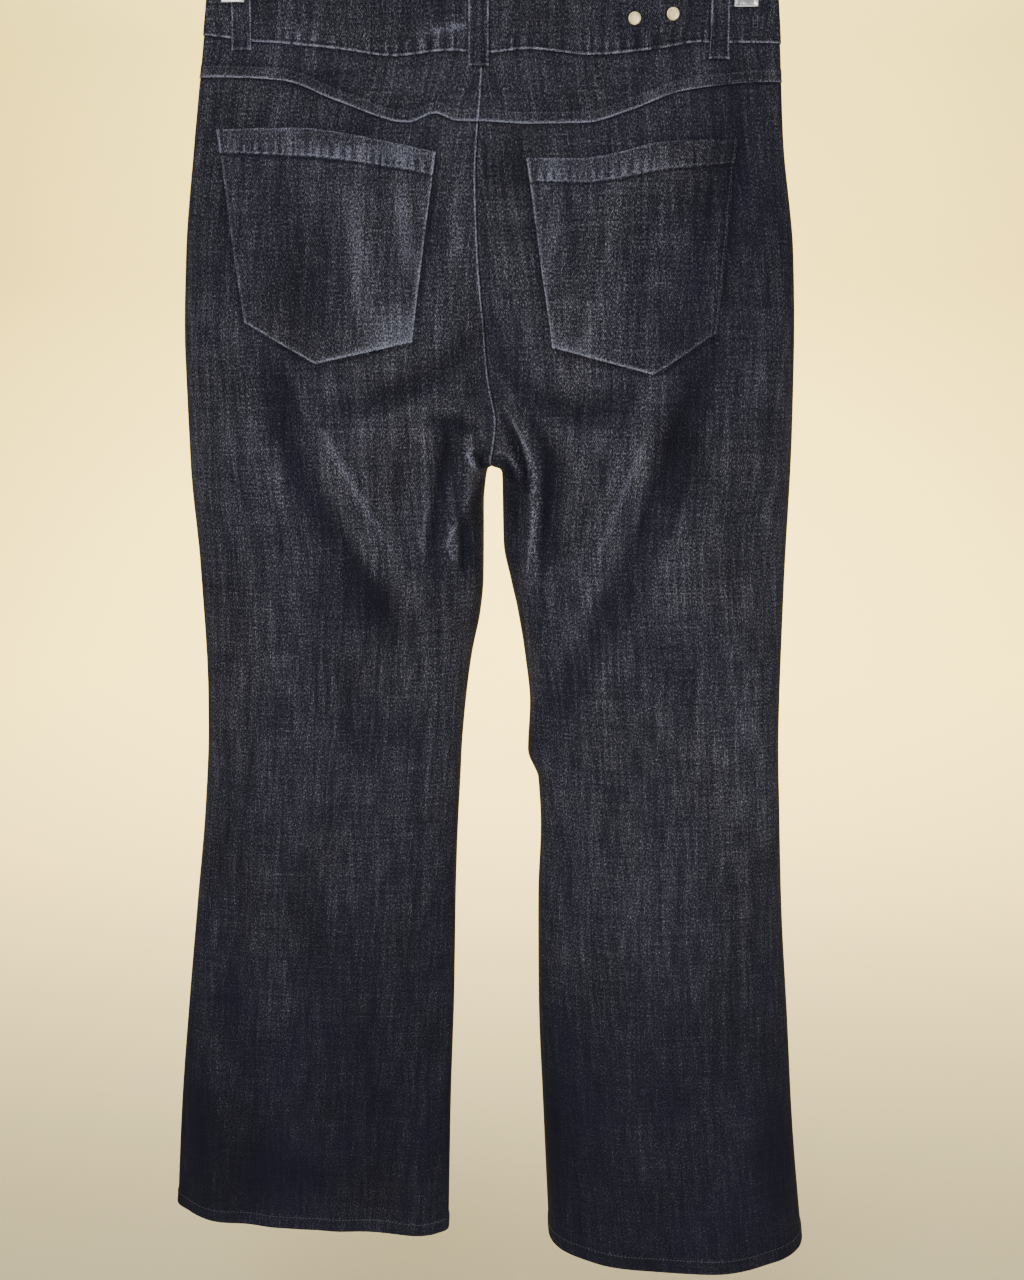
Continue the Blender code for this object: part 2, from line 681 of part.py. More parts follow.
def back_pocket(side):
    """A patch pocket with a raised band along its top."""
    across, z = leg_grid(side, BACK)
    across, z = across[:ROWS_UNDER_POCKET], z[:ROWS_UNDER_POCKET]
    outline = [(row.x * MM, row.z * MM) for row in POCKET_OUTLINE[side]]
    name = "back_pocket_" + SIDE_NAMES[side]
    pocket = patch(name, side, BACK, across, z, GAP, GAP + POCKET_WALL, outline)
    top = outline[:POCKET_TOP_POINTS]
    first, last = POCKET_BAND_INSET[side]
    lower = [(x, height - POCKET_BAND_HEIGHT) for x, height in top]
    lower[0] = (lower[0][0] + first, lower[0][1])
    lower[-1] = (lower[-1][0] - last, lower[-1][1])
    band_outline = top + lower[::-1]
    low = GAP + POCKET_WALL / 2
    band = patch(name + "_band", side, BACK, across, z, low, GAP + POCKET_BAND_WALL, band_outline)
    boolean(pocket, hidden(band), "UNION")
    return pocket


def belt_loop(row):
    """A loop flat on the waistband, with its tail below the band's seam."""
    side = LEFT if row.x < 0 else RIGHT
    x = row.x * MM
    seam = float(table_curve(BAND_SEAM[row.face], "z", np.array(x), key="x"))
    top = seam + BAND_HEIGHT - LOOP_TOP_INSET
    bottom = seam - row.tail * MM
    half = LOOP_WIDTH / 2
    outline = [(x - half, bottom), (x + half, bottom), (x + half, top), (x - half, top)]
    if abs(x) < LOOP_WIDTH:
        return centre_loop(row, bottom, top)
    columns = across_columns()
    band_seam = seam_height(side, row.face, columns, BAND_SEAM[row.face]) + HALF_GAP
    z = band_seam + np.array([BAND_HEIGHT, BAND_HEIGHT / 2, 0.0, -BAND_HEIGHT / 2])[:, None]
    across = np.broadcast_to(columns, z.shape).copy()
    low = BAND_LIFT + GAP
    return patch(row.name, side, row.face, across, z, low, low + LOOP_WALL, outline)


def centre_loop(row, bottom, top):
    """The loop over the centre back seam, which lies on both halves of the waistband."""
    x = row.x * MM + np.linspace(-0.5, 0.5, 5) * LOOP_WIDTH
    z = np.linspace(top, bottom, 5)[:, None] + 0 * x
    x = x + 0 * z
    depth = table_curve(LEG_ROWS[LEFT], "back", z) + BAND_LIFT + 2 * GAP
    outer = np.stack([x, -depth - LOOP_WALL, z], axis=-1)
    inner = np.stack([x, -depth, z], axis=-1)
    return wall_object(row.name, outer, inner, DENIM)


def fly_flap():
    """The folded edge that covers the zip, with a curved foot, on the wearer's right front."""
    across, z = leg_grid(RIGHT, FRONT)
    across, z = across[:ROWS_UNDER_FLAP], z[:ROWS_UNDER_FLAP]
    outline = [(FLAP_EDGE_X, FLAP_TOP_Z), (FLAP_EDGE_X + FLAP_WIDTH, FLAP_TOP_Z)]
    foot_z = FLAP_TOP_Z - FLAP_LENGTH
    for angle in np.linspace(0.0, math.pi / 2, 6):
        x = FLAP_EDGE_X + FLAP_WIDTH * math.cos(angle)
        outline.append((x, foot_z + FLAP_CORNER * (1 - math.sin(angle))))
    return patch("fly_flap", RIGHT, FRONT, across, z, GAP, GAP + FLAP_WALL, outline)


def fly_zip():
    """The closed zip behind the fly."""
    x = np.linspace(-ZIP_HALF_WIDTH, ZIP_HALF_WIDTH, 7)
    z = np.linspace(ZIP_TOP_Z, ZIP_TOP_Z - ZIP_LENGTH, 8)[:, None] + 0 * x
    x = x + 0 * z
    depth = table_curve(LEG_ROWS[RIGHT], "front", z) * section_height(z, 1.0)
    depth = depth - WALL - 3 * GAP
    outer = np.stack([x, depth, z], axis=-1)
    inner = np.stack([x, depth - ZIP_WALL, z], axis=-1)
    return wall_object("fly_zip", outer, inner, DENIM_TAPE)


def across_of(side, face, x, z):
    """The column at which a panel crosses x at height z."""
    columns = np.linspace(0.0, 1.0, 401)
    places = plain_form(side, face, columns, z + 0 * columns)[:, 0]
    return float(np.interp(abs(x), np.abs(places[::-1]), columns[::-1]))


def stud(name, side, face, x, z, radius, height, lift):
    """A low round stud with a bevelled edge, square to the cloth under it."""
    across = np.array([across_of(side, face, x, z)])
    seat = layer(side, face, across, np.array([z]), lift + RIVET_SEAT)[0]
    axis = outward(side, face, across, np.array([z]))[0]
    aside = np.cross(axis, (0.0, 0.0, 1.0))
    aside = aside / np.linalg.norm(aside)
    up = np.cross(aside, axis)
    bevel = height * BEVEL_SHARE
    profile = [(radius, 0.0), (radius, height - bevel), (radius - bevel, height)]
    turns = np.linspace(0.0, 2 * math.pi, 20, endpoint=False)
    mesh = bpy.data.meshes.new(name)
    bm = bmesh.new()
    rings = []
    for reach, rise in profile:
        ring = []
        for turn in turns:
            spoke = aside * math.cos(turn) + up * math.sin(turn)
            ring.append(bm.verts.new(seat + spoke * reach + axis * rise))
        rings.append(ring)
    count = len(turns)
    for lower, upper in zip(rings, rings[1:]):
        for i in range(count):
            bm.faces.new((lower[i], lower[(i + 1) % count], upper[(i + 1) % count], upper[i]))
    bm.faces.new(rings[0])
    bm.faces.new(rings[-1])
    bmesh.ops.recalc_face_normals(bm, faces=bm.faces)
    bm.to_mesh(mesh)
    bm.free()
    mesh.shade_smooth()
    mesh.set_sharp_from_angle(angle=math.radians(35))
    return new_object(name, mesh, RIVET_METAL)


def wire(name, path, radius, finish):
    """A round wire along a path, with closed ends."""
    curve = bpy.data.curves.new(name, "CURVE")
    curve.dimensions = "3D"
    curve.bevel_depth = radius
    curve.bevel_resolution = 3
    curve.use_fill_caps = True
    spline = curve.splines.new("POLY")
    spline.points.add(len(path) - 1)
    for point, place in zip(spline.points, path):
        point.co = (*place, 1.0)
    return new_object(name, curve, finish)


def hook_path():
    """From the free tip over the top and down into the collar."""
    radius = HOOK_INNER_RADIUS + HOOK_WIRE_RADIUS
    centre_z = -HOOK_INNER_RADIUS
    tip, leave = math.radians(-25), math.radians(225)
    path = []
    for angle in np.linspace(tip, leave, 19):
        path.append((radius * math.cos(angle), 0.0, centre_z + radius * math.sin(angle)))
    start = np.array(path[-1])
    turn = math.radians(45)
    bend = -start[0] / (1 - math.cos(turn))
    for angle in np.linspace(turn, 0.0, 6)[1:]:
        x = -bend * (1 - math.cos(angle))
        z = start[2] - bend * (math.sin(turn) - math.sin(angle))
        path.append((x, 0.0, z))
    path.append((0.0, 0.0, BAR_Z + COLLAR_SIZE[2] / 2 + GAP))
    return path


def box_with_bore(name, centre, size, bore, finish):
    """A block with rounded edges and a hole along X."""
    bm = bmesh.new()
    bmesh.ops.create_cube(bm, size=1.0)
    bmesh.ops.scale(bm, vec=size, verts=bm.verts)
    bmesh.ops.bevel(bm, geom=bm.edges[:], offset=min(size) * 0.12, segments=2, affect="EDGES")
    bmesh.ops.translate(bm, vec=centre, verts=bm.verts)
    mesh = bpy.data.meshes.new(name)
    bm.to_mesh(mesh)
    bm.free()
    block = new_object(name, mesh, finish)
    cutter_mesh = bpy.data.meshes.new(name + "_bore")
    bm = bmesh.new()
    bmesh.ops.create_cone(
        bm,
        cap_ends=True,
        segments=24,
        radius1=bore,
        radius2=bore,
        depth=size[0] * 2,
        matrix=Matrix.Translation(centre) @ Matrix.Rotation(math.pi / 2, 4, "Y"),
    )
    bm.to_mesh(cutter_mesh)
    bm.free()
    boolean(block, hidden(new_object(name + "_bore", cutter_mesh, finish)), "DIFFERENCE")
    return block


def spring_sleeve(side):
    """The sleeve on the bar that carries a clip's two jaws."""
    turns = np.linspace(0.0, 2 * math.pi, 24, endpoint=False)
    grids = []
    for reach in (SLEEVE_RADIUS, BAR_RADIUS + GAP):
        ring = np.stack([0 * turns, np.sin(turns) * reach, np.cos(turns) * reach + BAR_Z], axis=-1)
        middle = CLIP_X[side]
        ends = [ring + (middle + end * SLEEVE_LENGTH, 0.0, 0.0) for end in (-0.5, 0.5)]
        grids.append(np.stack(ends))
    name = "clip_sleeve_" + SIDE_NAMES[side]
    return wall_object(name, grids[0], grids[1], STEEL, closed_round=True)


def clip_jaw(side, face):
    """A jaw of a clip: a lip on the waistband, a bow round the sleeve, and a thumb piece above."""
    lip = CLIP_HALF_GRIP + BAND_LIFT + GAP
    if side == LEFT and face == BACK:
        lip = lip + LOOP_WALL + GAP
    profile = [(lip, CLIP_BOTTOM_Z), (lip, JAW_LIP_TOP_Z)]
    profile += [(SLEEVE_RADIUS + row.off * MM, row.z * MM) for row in JAW_ROWS]
    x = CLIP_X[side] + np.array(JAW_COLUMNS) * CLIP_WIDTH
    inner = np.array([[(place, face * y, z) for place in x] for y, z in profile])
    outer = inner + np.array([0.0, face * JAW_THICKNESS, 0.0])
    name = "clip_jaw_" + ("back_" if face == BACK else "front_") + SIDE_NAMES[side]
    return wall_object(name, outer, inner, STEEL)


def hanger():
    """The wire hook, the bar in its collar, and two clips."""
    wire("hanger_hook", hook_path(), HOOK_WIRE_RADIUS, STEEL)
    ends = [(end * BAR_HALF_LENGTH, 0.0, BAR_Z) for end in np.linspace(-1.0, 1.0, 3)]
    wire("hanger_bar", ends, BAR_RADIUS, STEEL)
    box_with_bore("hanger_collar", (0.0, 0.0, BAR_Z), COLLAR_SIZE, BAR_RADIUS + GAP, STEEL)
    for side in (LEFT, RIGHT):
        spring_sleeve(side)
        for face in (BACK, FRONT):
            clip_jaw(side, face)


def jeans():
    """All the cloth, the rivets and the button."""
    for side in (LEFT, RIGHT):
        waistband(side)
        yoke(side)
        for face in (BACK, FRONT):
            leg_panel(side, face)
        pocket_facing(side)
        back_pocket(side)
    for row in LOOP_ROWS:
        belt_loop(row)
    fly_flap()
    fly_zip()
    for row in RIVET_ROWS:
        x, z = row.x * MM, row.z * MM
        stud(row.name, row.side, row.face, x, z, row.radius * MM, RIVET_HEIGHT, row.lift)
    z = float(table_curve(BAND_SEAM[FRONT], "z", np.array(0.0), key="x")) + BAND_HEIGHT / 2
    stud("waist_button", RIGHT, FRONT, BUTTON_X, z, BUTTON_RADIUS, BUTTON_HEIGHT, BAND_LIFT)


for old in list(bpy.data.objects):
    bpy.data.objects.remove(old, do_unlink=True)
jeans()
hanger()
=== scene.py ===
"""Looks of a pair of trouser jeans hung from a clip hanger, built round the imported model.

Metres, +Z up. The origin is the inner top of the hanger's hook, the back of the jeans faces -Y and
the wearer's left leg is at -X. Tables are in millimetres. Every cloth piece is a thin closed shell
on its solid's form: the form is worked out again here, with many more points and finer creases.
"""

import logging
import math
from dataclasses import dataclass
from enum import Enum
from typing import Any, NamedTuple, Optional, Sequence, Union

import bmesh
import bpy
import numpy as np
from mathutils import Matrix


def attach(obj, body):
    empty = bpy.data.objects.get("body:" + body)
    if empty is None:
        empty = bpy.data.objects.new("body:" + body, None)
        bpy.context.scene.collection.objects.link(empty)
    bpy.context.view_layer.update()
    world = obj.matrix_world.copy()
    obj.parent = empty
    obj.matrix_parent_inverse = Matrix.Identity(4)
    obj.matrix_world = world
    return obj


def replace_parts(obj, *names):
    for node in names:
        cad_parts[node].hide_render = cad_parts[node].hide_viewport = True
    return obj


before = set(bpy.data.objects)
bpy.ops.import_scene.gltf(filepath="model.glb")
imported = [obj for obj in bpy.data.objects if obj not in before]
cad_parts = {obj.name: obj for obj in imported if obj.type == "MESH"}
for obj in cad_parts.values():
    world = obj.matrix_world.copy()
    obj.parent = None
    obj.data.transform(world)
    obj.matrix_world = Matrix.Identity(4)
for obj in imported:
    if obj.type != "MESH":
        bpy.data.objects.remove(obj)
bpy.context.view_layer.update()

Array = np.ndarray
Lift = Union[float, Array]
Triple = tuple[float, float, float]
Material = bpy.types.Material
Mesh = bpy.types.Mesh
Piece = bpy.types.Object

LOG = logging.getLogger("jeans")
MM = 0.001
TURN = 2 * math.pi
# Clear gaps: between pieces that lie on each other, and on each side of a seam.
GAP = 0.3 * MM
HALF_GAP = 0.04 * MM
ROOT = "root"


class Side(Enum):
    """A leg, by the wearer's own side. The value is the sign of its x."""

    LEFT = -1
    RIGHT = 1

    @property
    def word(self) -> str:
        """The side's word in the names of pieces."""
        return self.name.lower()


class Face(Enum):
    """The back or the front of the jeans. The value is the sign of its y."""

    BACK = -1
    FRONT = 1

    @property
    def word(self) -> str:
        """The face's word in the names of pieces and table columns."""
        return self.name.lower()


# ---------------------------------------------------------------- tables of the form


class LegRow(NamedTuple):
    """The side seam's x at a height, and how far the two panels stand out."""

    z: float
    out: float
    back: float
    front: float


class InseamRow(NamedTuple):
    """The inseams' x below the crotch."""

    z: float
    left: float
    right: float


class CentreRow(NamedTuple):
    """The centre seams' x above the crotch."""

    z: float
    back: float
    front: float


class CrownRow(NamedTuple):
    """Where the centre seam cuts a leg's section: 500 at its crown, 0 at its inner edge."""

    z: float
    place: float


class SeamRow(NamedTuple):
    """A point of a seam that runs round the hips or of an outline."""

    x: float
    z: float


class Fold(NamedTuple):
    """A fold along a curve through three points, with half its width and its height."""

    x0: float
    z0: float
    x1: float
    z1: float
    x2: float
    z2: float
    width: float
    height: float


class Patch(NamedTuple):
    """A place painted lighter or darker, mostly as painted light and shade, partly as worn cloth,
    and how far that reaches.
    """

    x: float
    z: float
    reach_x: float
    reach_z: float
    tone: float


def table(kind: type, *rows: tuple[float, ...]) -> list[Any]:
    """Rows of one kind, in millimetres."""
    return [kind(*row) for row in rows]


LEG_ROWS: dict[Side, list[LegRow]] = {
    Side.LEFT: table(
        LegRow,
        (-118, 206, 11, 8), (-172, 214, 15, 12), (-240, 224, 28, 20), (-320, 234, 46, 30),
        (-400, 238.7, 54, 36), (-483, 239, 56, 40), (-560, 236, 51, 37), (-640, 235, 46, 33),
        (-700, 237, 42, 30), (-780, 244.5, 37, 28), (-860, 255.5, 33, 26), (-960, 269, 29, 24),
        (-1060, 281.5, 25, 23), (-1190, 294, 21, 22),
    ),
    Side.RIGHT: table(
        LegRow,
        (-118, 213, 11, 8), (-172, 218.5, 15, 12), (-240, 224, 28, 20), (-320, 235, 46, 30),
        (-400, 239.2, 54, 36), (-483, 240.6, 56, 40), (-560, 240, 51, 37), (-640, 240.5, 47, 34),
        (-700, 241.6, 44, 31), (-780, 246.2, 42, 28), (-860, 251.6, 43, 26), (-960, 261, 48, 25),
        (-1060, 270, 54, 25), (-1190, 285.5, 61, 25),
    ),
}
INSEAM_ROWS = table(
    InseamRow,
    (-483, 4, 4), (-484.6, 1, 9.6), (-488, -0.2, 11.8), (-497, -1.6, 12.2), (-512, -2.8, 12.4),
    (-545, -3, 13.1), (-575, -3.4, 19), (-600, -5.7, 24.5), (-640, -13.6, 30.9),
    (-680, -18.9, 34.8), (-720, -22.5, 33.2), (-745, -23.8, 42), (-790, -26.5, 44.4),
    (-850, -28.9, 42.6), (-950, -31.4, 43.5), (-1050, -35.4, 47.7), (-1190, -39.2, 54.3),
)
CENTRE_ROWS = table(
    CentreRow,
    (-118, 0, 0), (-190, -1, 0), (-265, -5, 0.5), (-320, -3, 1), (-370, 1, 2), (-414, 5, 2.5),
    (-446, 10, 3), (-483, 4, 4),
)
CROWN_ROWS = table(
    CrownRow,
    (-118, 480), (-190, 450), (-300, 360), (-400, 300), (-440, 185), (-483, 0),
)
BAND_SEAM: dict[Face, list[SeamRow]] = {
    Face.BACK: table(
        SeamRow,
        (-240, -160.5), (-213, -162), (-170, -168), (-105, -175.5), (-67, -180.5), (-25, -177),
        (0, -179), (32, -176.5), (80, -181), (124, -177.3), (160, -172.4), (218, -172), (240, -172),
    ),
    Face.FRONT: table(
        SeamRow,
        (-240, -160.5), (-213, -162), (-100, -179), (0, -188), (100, -184), (218, -172),
        (240, -172),
    ),
}
YOKE_SEAM = table(
    SeamRow,
    (-240, -191), (-217, -192), (-151, -196.6), (-108, -212.5), (-56, -228), (-36, -221.5),
    (-20, -227), (0, -227.5), (37, -229.5), (76, -229), (106, -221), (147, -206.5), (200, -200),
    (240, -198),
)
HEM: dict[Side, list[SeamRow]] = {
    Side.LEFT: table(SeamRow, (-295, -1167), (-250, -1173), (-39, -1187)),
    Side.RIGHT: table(SeamRow, (54, -1183), (286, -1179)),
}
MAIN_FOLDS: dict[Face, list[Fold]] = {
    Face.BACK: table(
        Fold,
        (-170, -385, -123, -515, -70, -625, 13, -7), (-146, -425, -91, -525, -36, -608, 17, 5),
        (174, -378, 130, -525, 36, -716, 14, -7), (140, -410, 100, -530, 26, -665, 18, 4),
        (8, -362, -40, -413, -128, -443, 10, -6), (-4, -398, -52, -438, -120, -468, 14, 4),
        (6, -390, 60, -437, 118, -419, 10, -6), (20, -425, 62, -463, 112, -450, 14, 4),
        (-8, -455, -13, -500, -24, -556, 7, 4), (-19, -440, -31, -492, -43, -572, 7, -5),
        (-40, -448, -45, -501, -50, -556, 9, 4), (18, -446, 38, -490, 33, -585, 8, 4.5),
        (52, -448, 51, -504, 46, -565, 9, -5), (-37, -238, -36, -290, -33, -345, 10, -2.5),
        (29, -228, 8, -265, 2, -310, 9, -2.5), (174, -250, 165, -308, 158, -372, 14, -3),
        (-150, -245, -141, -307, -124, -392, 14, -3), (-104, -630, -112, -710, -106, -820, 24, -4),
        (-170, -690, -180, -800, -196, -930, 26, 3.5), (150, -690, 160, -790, 170, -900, 26, -3.5),
        (40, -700, 66, -722, 104, -736, 9, -3), (-252, -960, -254, -1090, -250, -1250, 24, 8),
        (-116, -930, -114, -1070, -110, -1250, 28, -6), (-68, -1010, -66, -1100, -64, -1250, 18, 4),
        (150, -960, 152, -1080, 150, -1250, 24, -4), (205, -980, 208, -1090, 212, -1250, 24, 4),
    ),
    Face.FRONT: table(
        Fold,
        (-176, -330, -118, -420, -40, -478, 14, -6), (-182, -375, -120, -465, -48, -520, 16, 5),
        (178, -340, 122, -425, 46, -476, 14, -6), (184, -385, 126, -468, 54, -522, 16, 5),
        (-60, -430, -80, -540, -96, -660, 15, -5), (66, -430, 88, -545, 104, -670, 15, -5),
        (-20, -400, -24, -450, -30, -520, 9, -3.5), (22, -400, 28, -450, 34, -520, 9, -3.5),
        (-60, -700, -110, -730, -170, -722, 13, -4), (70, -708, 124, -736, 186, -724, 13, -4),
        (-150, -760, -160, -900, -172, -1060, 26, 4), (156, -770, 162, -900, 168, -1060, 26, 4),
        (-120, -960, -118, -1080, -116, -1250, 26, -5), (120, -960, 122, -1080, 126, -1250, 26, -4),
    ),
}

# Finer creases that only show close by, each given one by one.
FINE_FOLDS: dict[Face, list[Fold]] = {
    Face.BACK: table(
        Fold,
        (-158, -402, -124, -476, -88, -556, 5, -1.6), (-128, -470, -104, -520, -62, -592, 6, 1.4),
        (-110, -455, -84, -505, -40, -560, 6, -1.3), (-186, -420, -160, -500, -132, -580, 8, 1.2),
        (-196, -470, -176, -560, -150, -640, 9, -1), (-92, -428, -70, -452, -46, -486, 5, 1.1),
        (-60, -420, -34, -444, -16, -472, 4.5, -1.2), (-74, -470, -66, -520, -62, -580, 6, -1.1),
        (-28, -486, -26, -524, -20, -572, 3.6, 3.8), (-20, -488, -16, -530, -16, -566, 4.2, -5.4),
        (-4, -458, -1, -470, -4, -484, 3, -6), (-10, -456, -12, -470, -8, -486, 3, 3.6),
        (-28, -442, -17, -451, -4, -445, 4.5, -3), (-30, -434, -16, -438, -2, -432, 5, 1.5),
        (160, -402, 142, -466, 118, -548, 5, -1.6), (128, -452, 110, -512, 80, -590, 6, 1.4),
        (112, -430, 92, -486, 62, -560, 6, -1.2), (190, -430, 172, -510, 150, -610, 8, 1.2),
        (204, -500, 190, -590, 168, -690, 9, -1), (96, -436, 72, -446, 44, -470, 5, 1),
        (9, -404, 31, -452, 39, -506, 3.6, 3.6), (37, -484, 40, -520, 34, -584, 3.6, 2.8),
        (15, -440, 29, -474, 33, -500, 3.6, -7), (53, -446, 54, -500, 46, -570, 6, -3),
        (8, -473, 17, -464, 23, -480, 2.6, 3.6), (20, -474, 26, -484, 30, -498, 2.6, 2.8),
        (13, -478, 18, -482, 20, -494, 2.6, -4), (64, -470, 62, -530, 56, -590, 6, -1.1),
        (28, -470, 32, -500, 28, -540, 4, -1), (-60, -242, -58, -290, -52, -350, 7, 0.9),
        (48, -246, 52, -300, 50, -352, 7, 0.9), (-12, -236, -16, -280, -14, -340, 5, 0.8),
        (-98, -262, -96, -312, -92, -372, 9, 0.8), (-120, -258, -116, -320, -110, -380, 7, -0.8),
        (96, -268, 92, -322, 84, -390, 8, 0.8), (122, -262, 120, -320, 112, -388, 7, -0.9),
        (70, -262, 66, -320, 64, -372, 7, -0.6), (-84, -184, -80, -200, -74, -214, 7, 0.7),
        (-44, -184, -40, -204, -38, -222, 6, -0.8), (66, -188, 62, -206, 58, -224, 7, -0.7),
        (112, -182, 106, -196, 100, -214, 7, 0.7), (-130, -600, -140, -660, -136, -730, 10, -1.4),
        (-76, -640, -80, -700, -74, -780, 10, 1.2), (-60, -760, -66, -860, -64, -960, 12, -1.2),
        (-146, -820, -150, -920, -156, -1030, 13, -1.4),
        (-206, -760, -216, -860, -232, -980, 12, -1.2), (-48, -690, -84, -704, -120, -696, 8, -1.2),
        (-54, -724, -90, -742, -128, -738, 9, 1), (112, -640, 118, -720, 116, -820, 11, -1.4),
        (76, -750, 84, -850, 86, -960, 12, -1.2), (196, -740, 206, -850, 216, -980, 12, 1.2),
        (58, -740, 92, -756, 132, -752, 8, 1), (120, -860, 122, -980, 120, -1100, 13, 1.4),
        (84, -1000, 86, -1090, 86, -1220, 14, -1.6), (240, -1010, 244, -1090, 250, -1220, 12, -1.6),
        (-200, -1010, -202, -1090, -200, -1220, 14, 1.8),
        (-160, -1040, -158, -1110, -154, -1220, 12, -1.4),
        (-276, -1050, -280, -1110, -284, -1220, 8, -1.4),
    ),
    Face.FRONT: table(
        Fold,
        (-168, -352, -120, -432, -60, -480, 6, -1.4), (-150, -380, -104, -440, -52, -474, 6, 1.3),
        (-196, -350, -150, -420, -110, -470, 8, -1.1), (-60, -410, -44, -440, -24, -470, 5, 1.2),
        (168, -356, 124, -436, 64, -480, 6, -1.4), (152, -386, 108, -442, 58, -474, 6, 1.3),
        (198, -352, 152, -424, 112, -474, 8, -1.1), (62, -412, 48, -442, 30, -470, 5, 1.2),
        (-50, -480, -56, -540, -64, -610, 7, 1.2), (56, -482, 62, -544, 72, -614, 7, 1.2),
        (-120, -520, -130, -600, -134, -680, 11, 1.4), (122, -520, 134, -604, 140, -690, 11, 1.4),
        (-70, -740, -110, -762, -160, -756, 9, 1.1), (-90, -676, -128, -690, -176, -682, 8, -1),
        (80, -750, 122, -772, 172, -764, 9, 1.1), (96, -684, 134, -696, 184, -688, 8, -1),
        (-200, -780, -212, -880, -226, -1000, 13, -1.4),
        (-84, -820, -88, -920, -92, -1040, 13, 1.2), (208, -790, 212, -890, 224, -1000, 13, -1.4),
        (92, -820, 92, -930, 96, -1050, 13, 1.2), (-170, -1040, -168, -1110, -164, -1220, 12, 1.4),
        (-230, -1050, -234, -1110, -238, -1220, 11, -1.2),
        (170, -1040, 172, -1110, 176, -1220, 12, 1.4),
        (232, -1050, 236, -1110, 240, -1220, 11, -1.2),
    ),
}

# Places painted lighter (tone above 0) or darker (below 0): mostly painted light and shade on the
# folds.
LIGHT_AND_SHADE_PATCHES: dict[Face, list[Patch]] = {
    Face.BACK: table(
        Patch,
        (-180, -285, 26, 62, -0.33), (-140, -348, 28, 42, -0.6), (-100, -238, 44, 16, -0.25),
        (-20, -300, 15, 80, 0.28), (20, -325, 14, 42, 0.25), (-60, -392, 28, 30, 0.35),
        (-222, -430, 24, 120, 0.12), (-186, -485, 22, 62, 0.15), (182, -255, 27, 40, -0.6),
        (207, -330, 30, 80, -0.32), (145, -372, 24, 36, -0.42), (62, -400, 28, 30, 0.3),
        (141, -458, 17, 30, -0.8), (66, -512, 12, 28, 0.5), (23, -506, 8, 24, -0.8),
        (-4, -466, 5, 10, 0.3), (165, -249, 26, 10, -0.4), (-100, -250, 50, 7, 0.16),
        (22, -262, 16, 16, -0.3), (-78, -264, 34, 10, -0.2), (110, -520, 60, 60, 0.14),
        (-96, -520, 40, 60, 0.14), (-120, -1172, 90, 12, 0.5), (0, -420, 34, 16, -0.28),
        (164, -500, 38, 22, -0.25), (-76, -582, 46, 34, -0.5), (-16, -556, 9, 14, -0.5),
        (-18, -508, 9, 12, 0.35), (58, -612, 14, 26, -0.28), (-84, -690, 28, 42, -0.25),
        (-20, -612, 10, 26, 0.3), (202, -590, 30, 90, 0.16), (204, -728, 36, 48, 0.36),
        (130, -840, 72, 82, 0.34), (-190, -790, 34, 52, -0.26), (-140, -885, 60, 46, -0.2),
        (-184, -930, 20, 46, 0.45), (-150, -1070, 24, 30, 0.35), (-160, -1120, 30, 16, -0.6),
        (57, -1060, 18, 70, -0.85), (-62, -1085, 20, 50, -0.25), (256, -1085, 18, 60, -0.5),
        (-224, -965, 18, 40, -0.25), (-205, -1112, 34, 36, -0.8), (-264, -1085, 20, 60, -1.2),
        (-108, -1140, 50, 40, 0.3), (150, -1092, 24, 60, 0.3), (-142, -165, 24, 14, 0.3),
        (-60, -148, 26, 12, -0.3), (140, -158, 52, 20, -0.28), (-127, -196, 26, 8, -0.45),
        (-62, -200, 16, 12, 0.3), (180, -210, 28, 20, -0.35), (-36, -163, 11, 3, 0.62),
        (-20, -160, 8, 4, 0.62),
    ),
    Face.FRONT: table(
        Patch,
        (-128, -520, 44, 130, 0.22), (132, -505, 46, 124, 0.24), (-146, -735, 60, 44, 0.2),
        (152, -742, 58, 48, 0.22), (-60, -360, 34, 60, -0.2), (64, -352, 36, 64, -0.18),
        (-206, -420, 20, 90, -0.25), (208, -430, 20, 90, -0.22), (-100, -960, 26, 90, -0.2),
        (104, -980, 24, 90, -0.22),
    ),
}
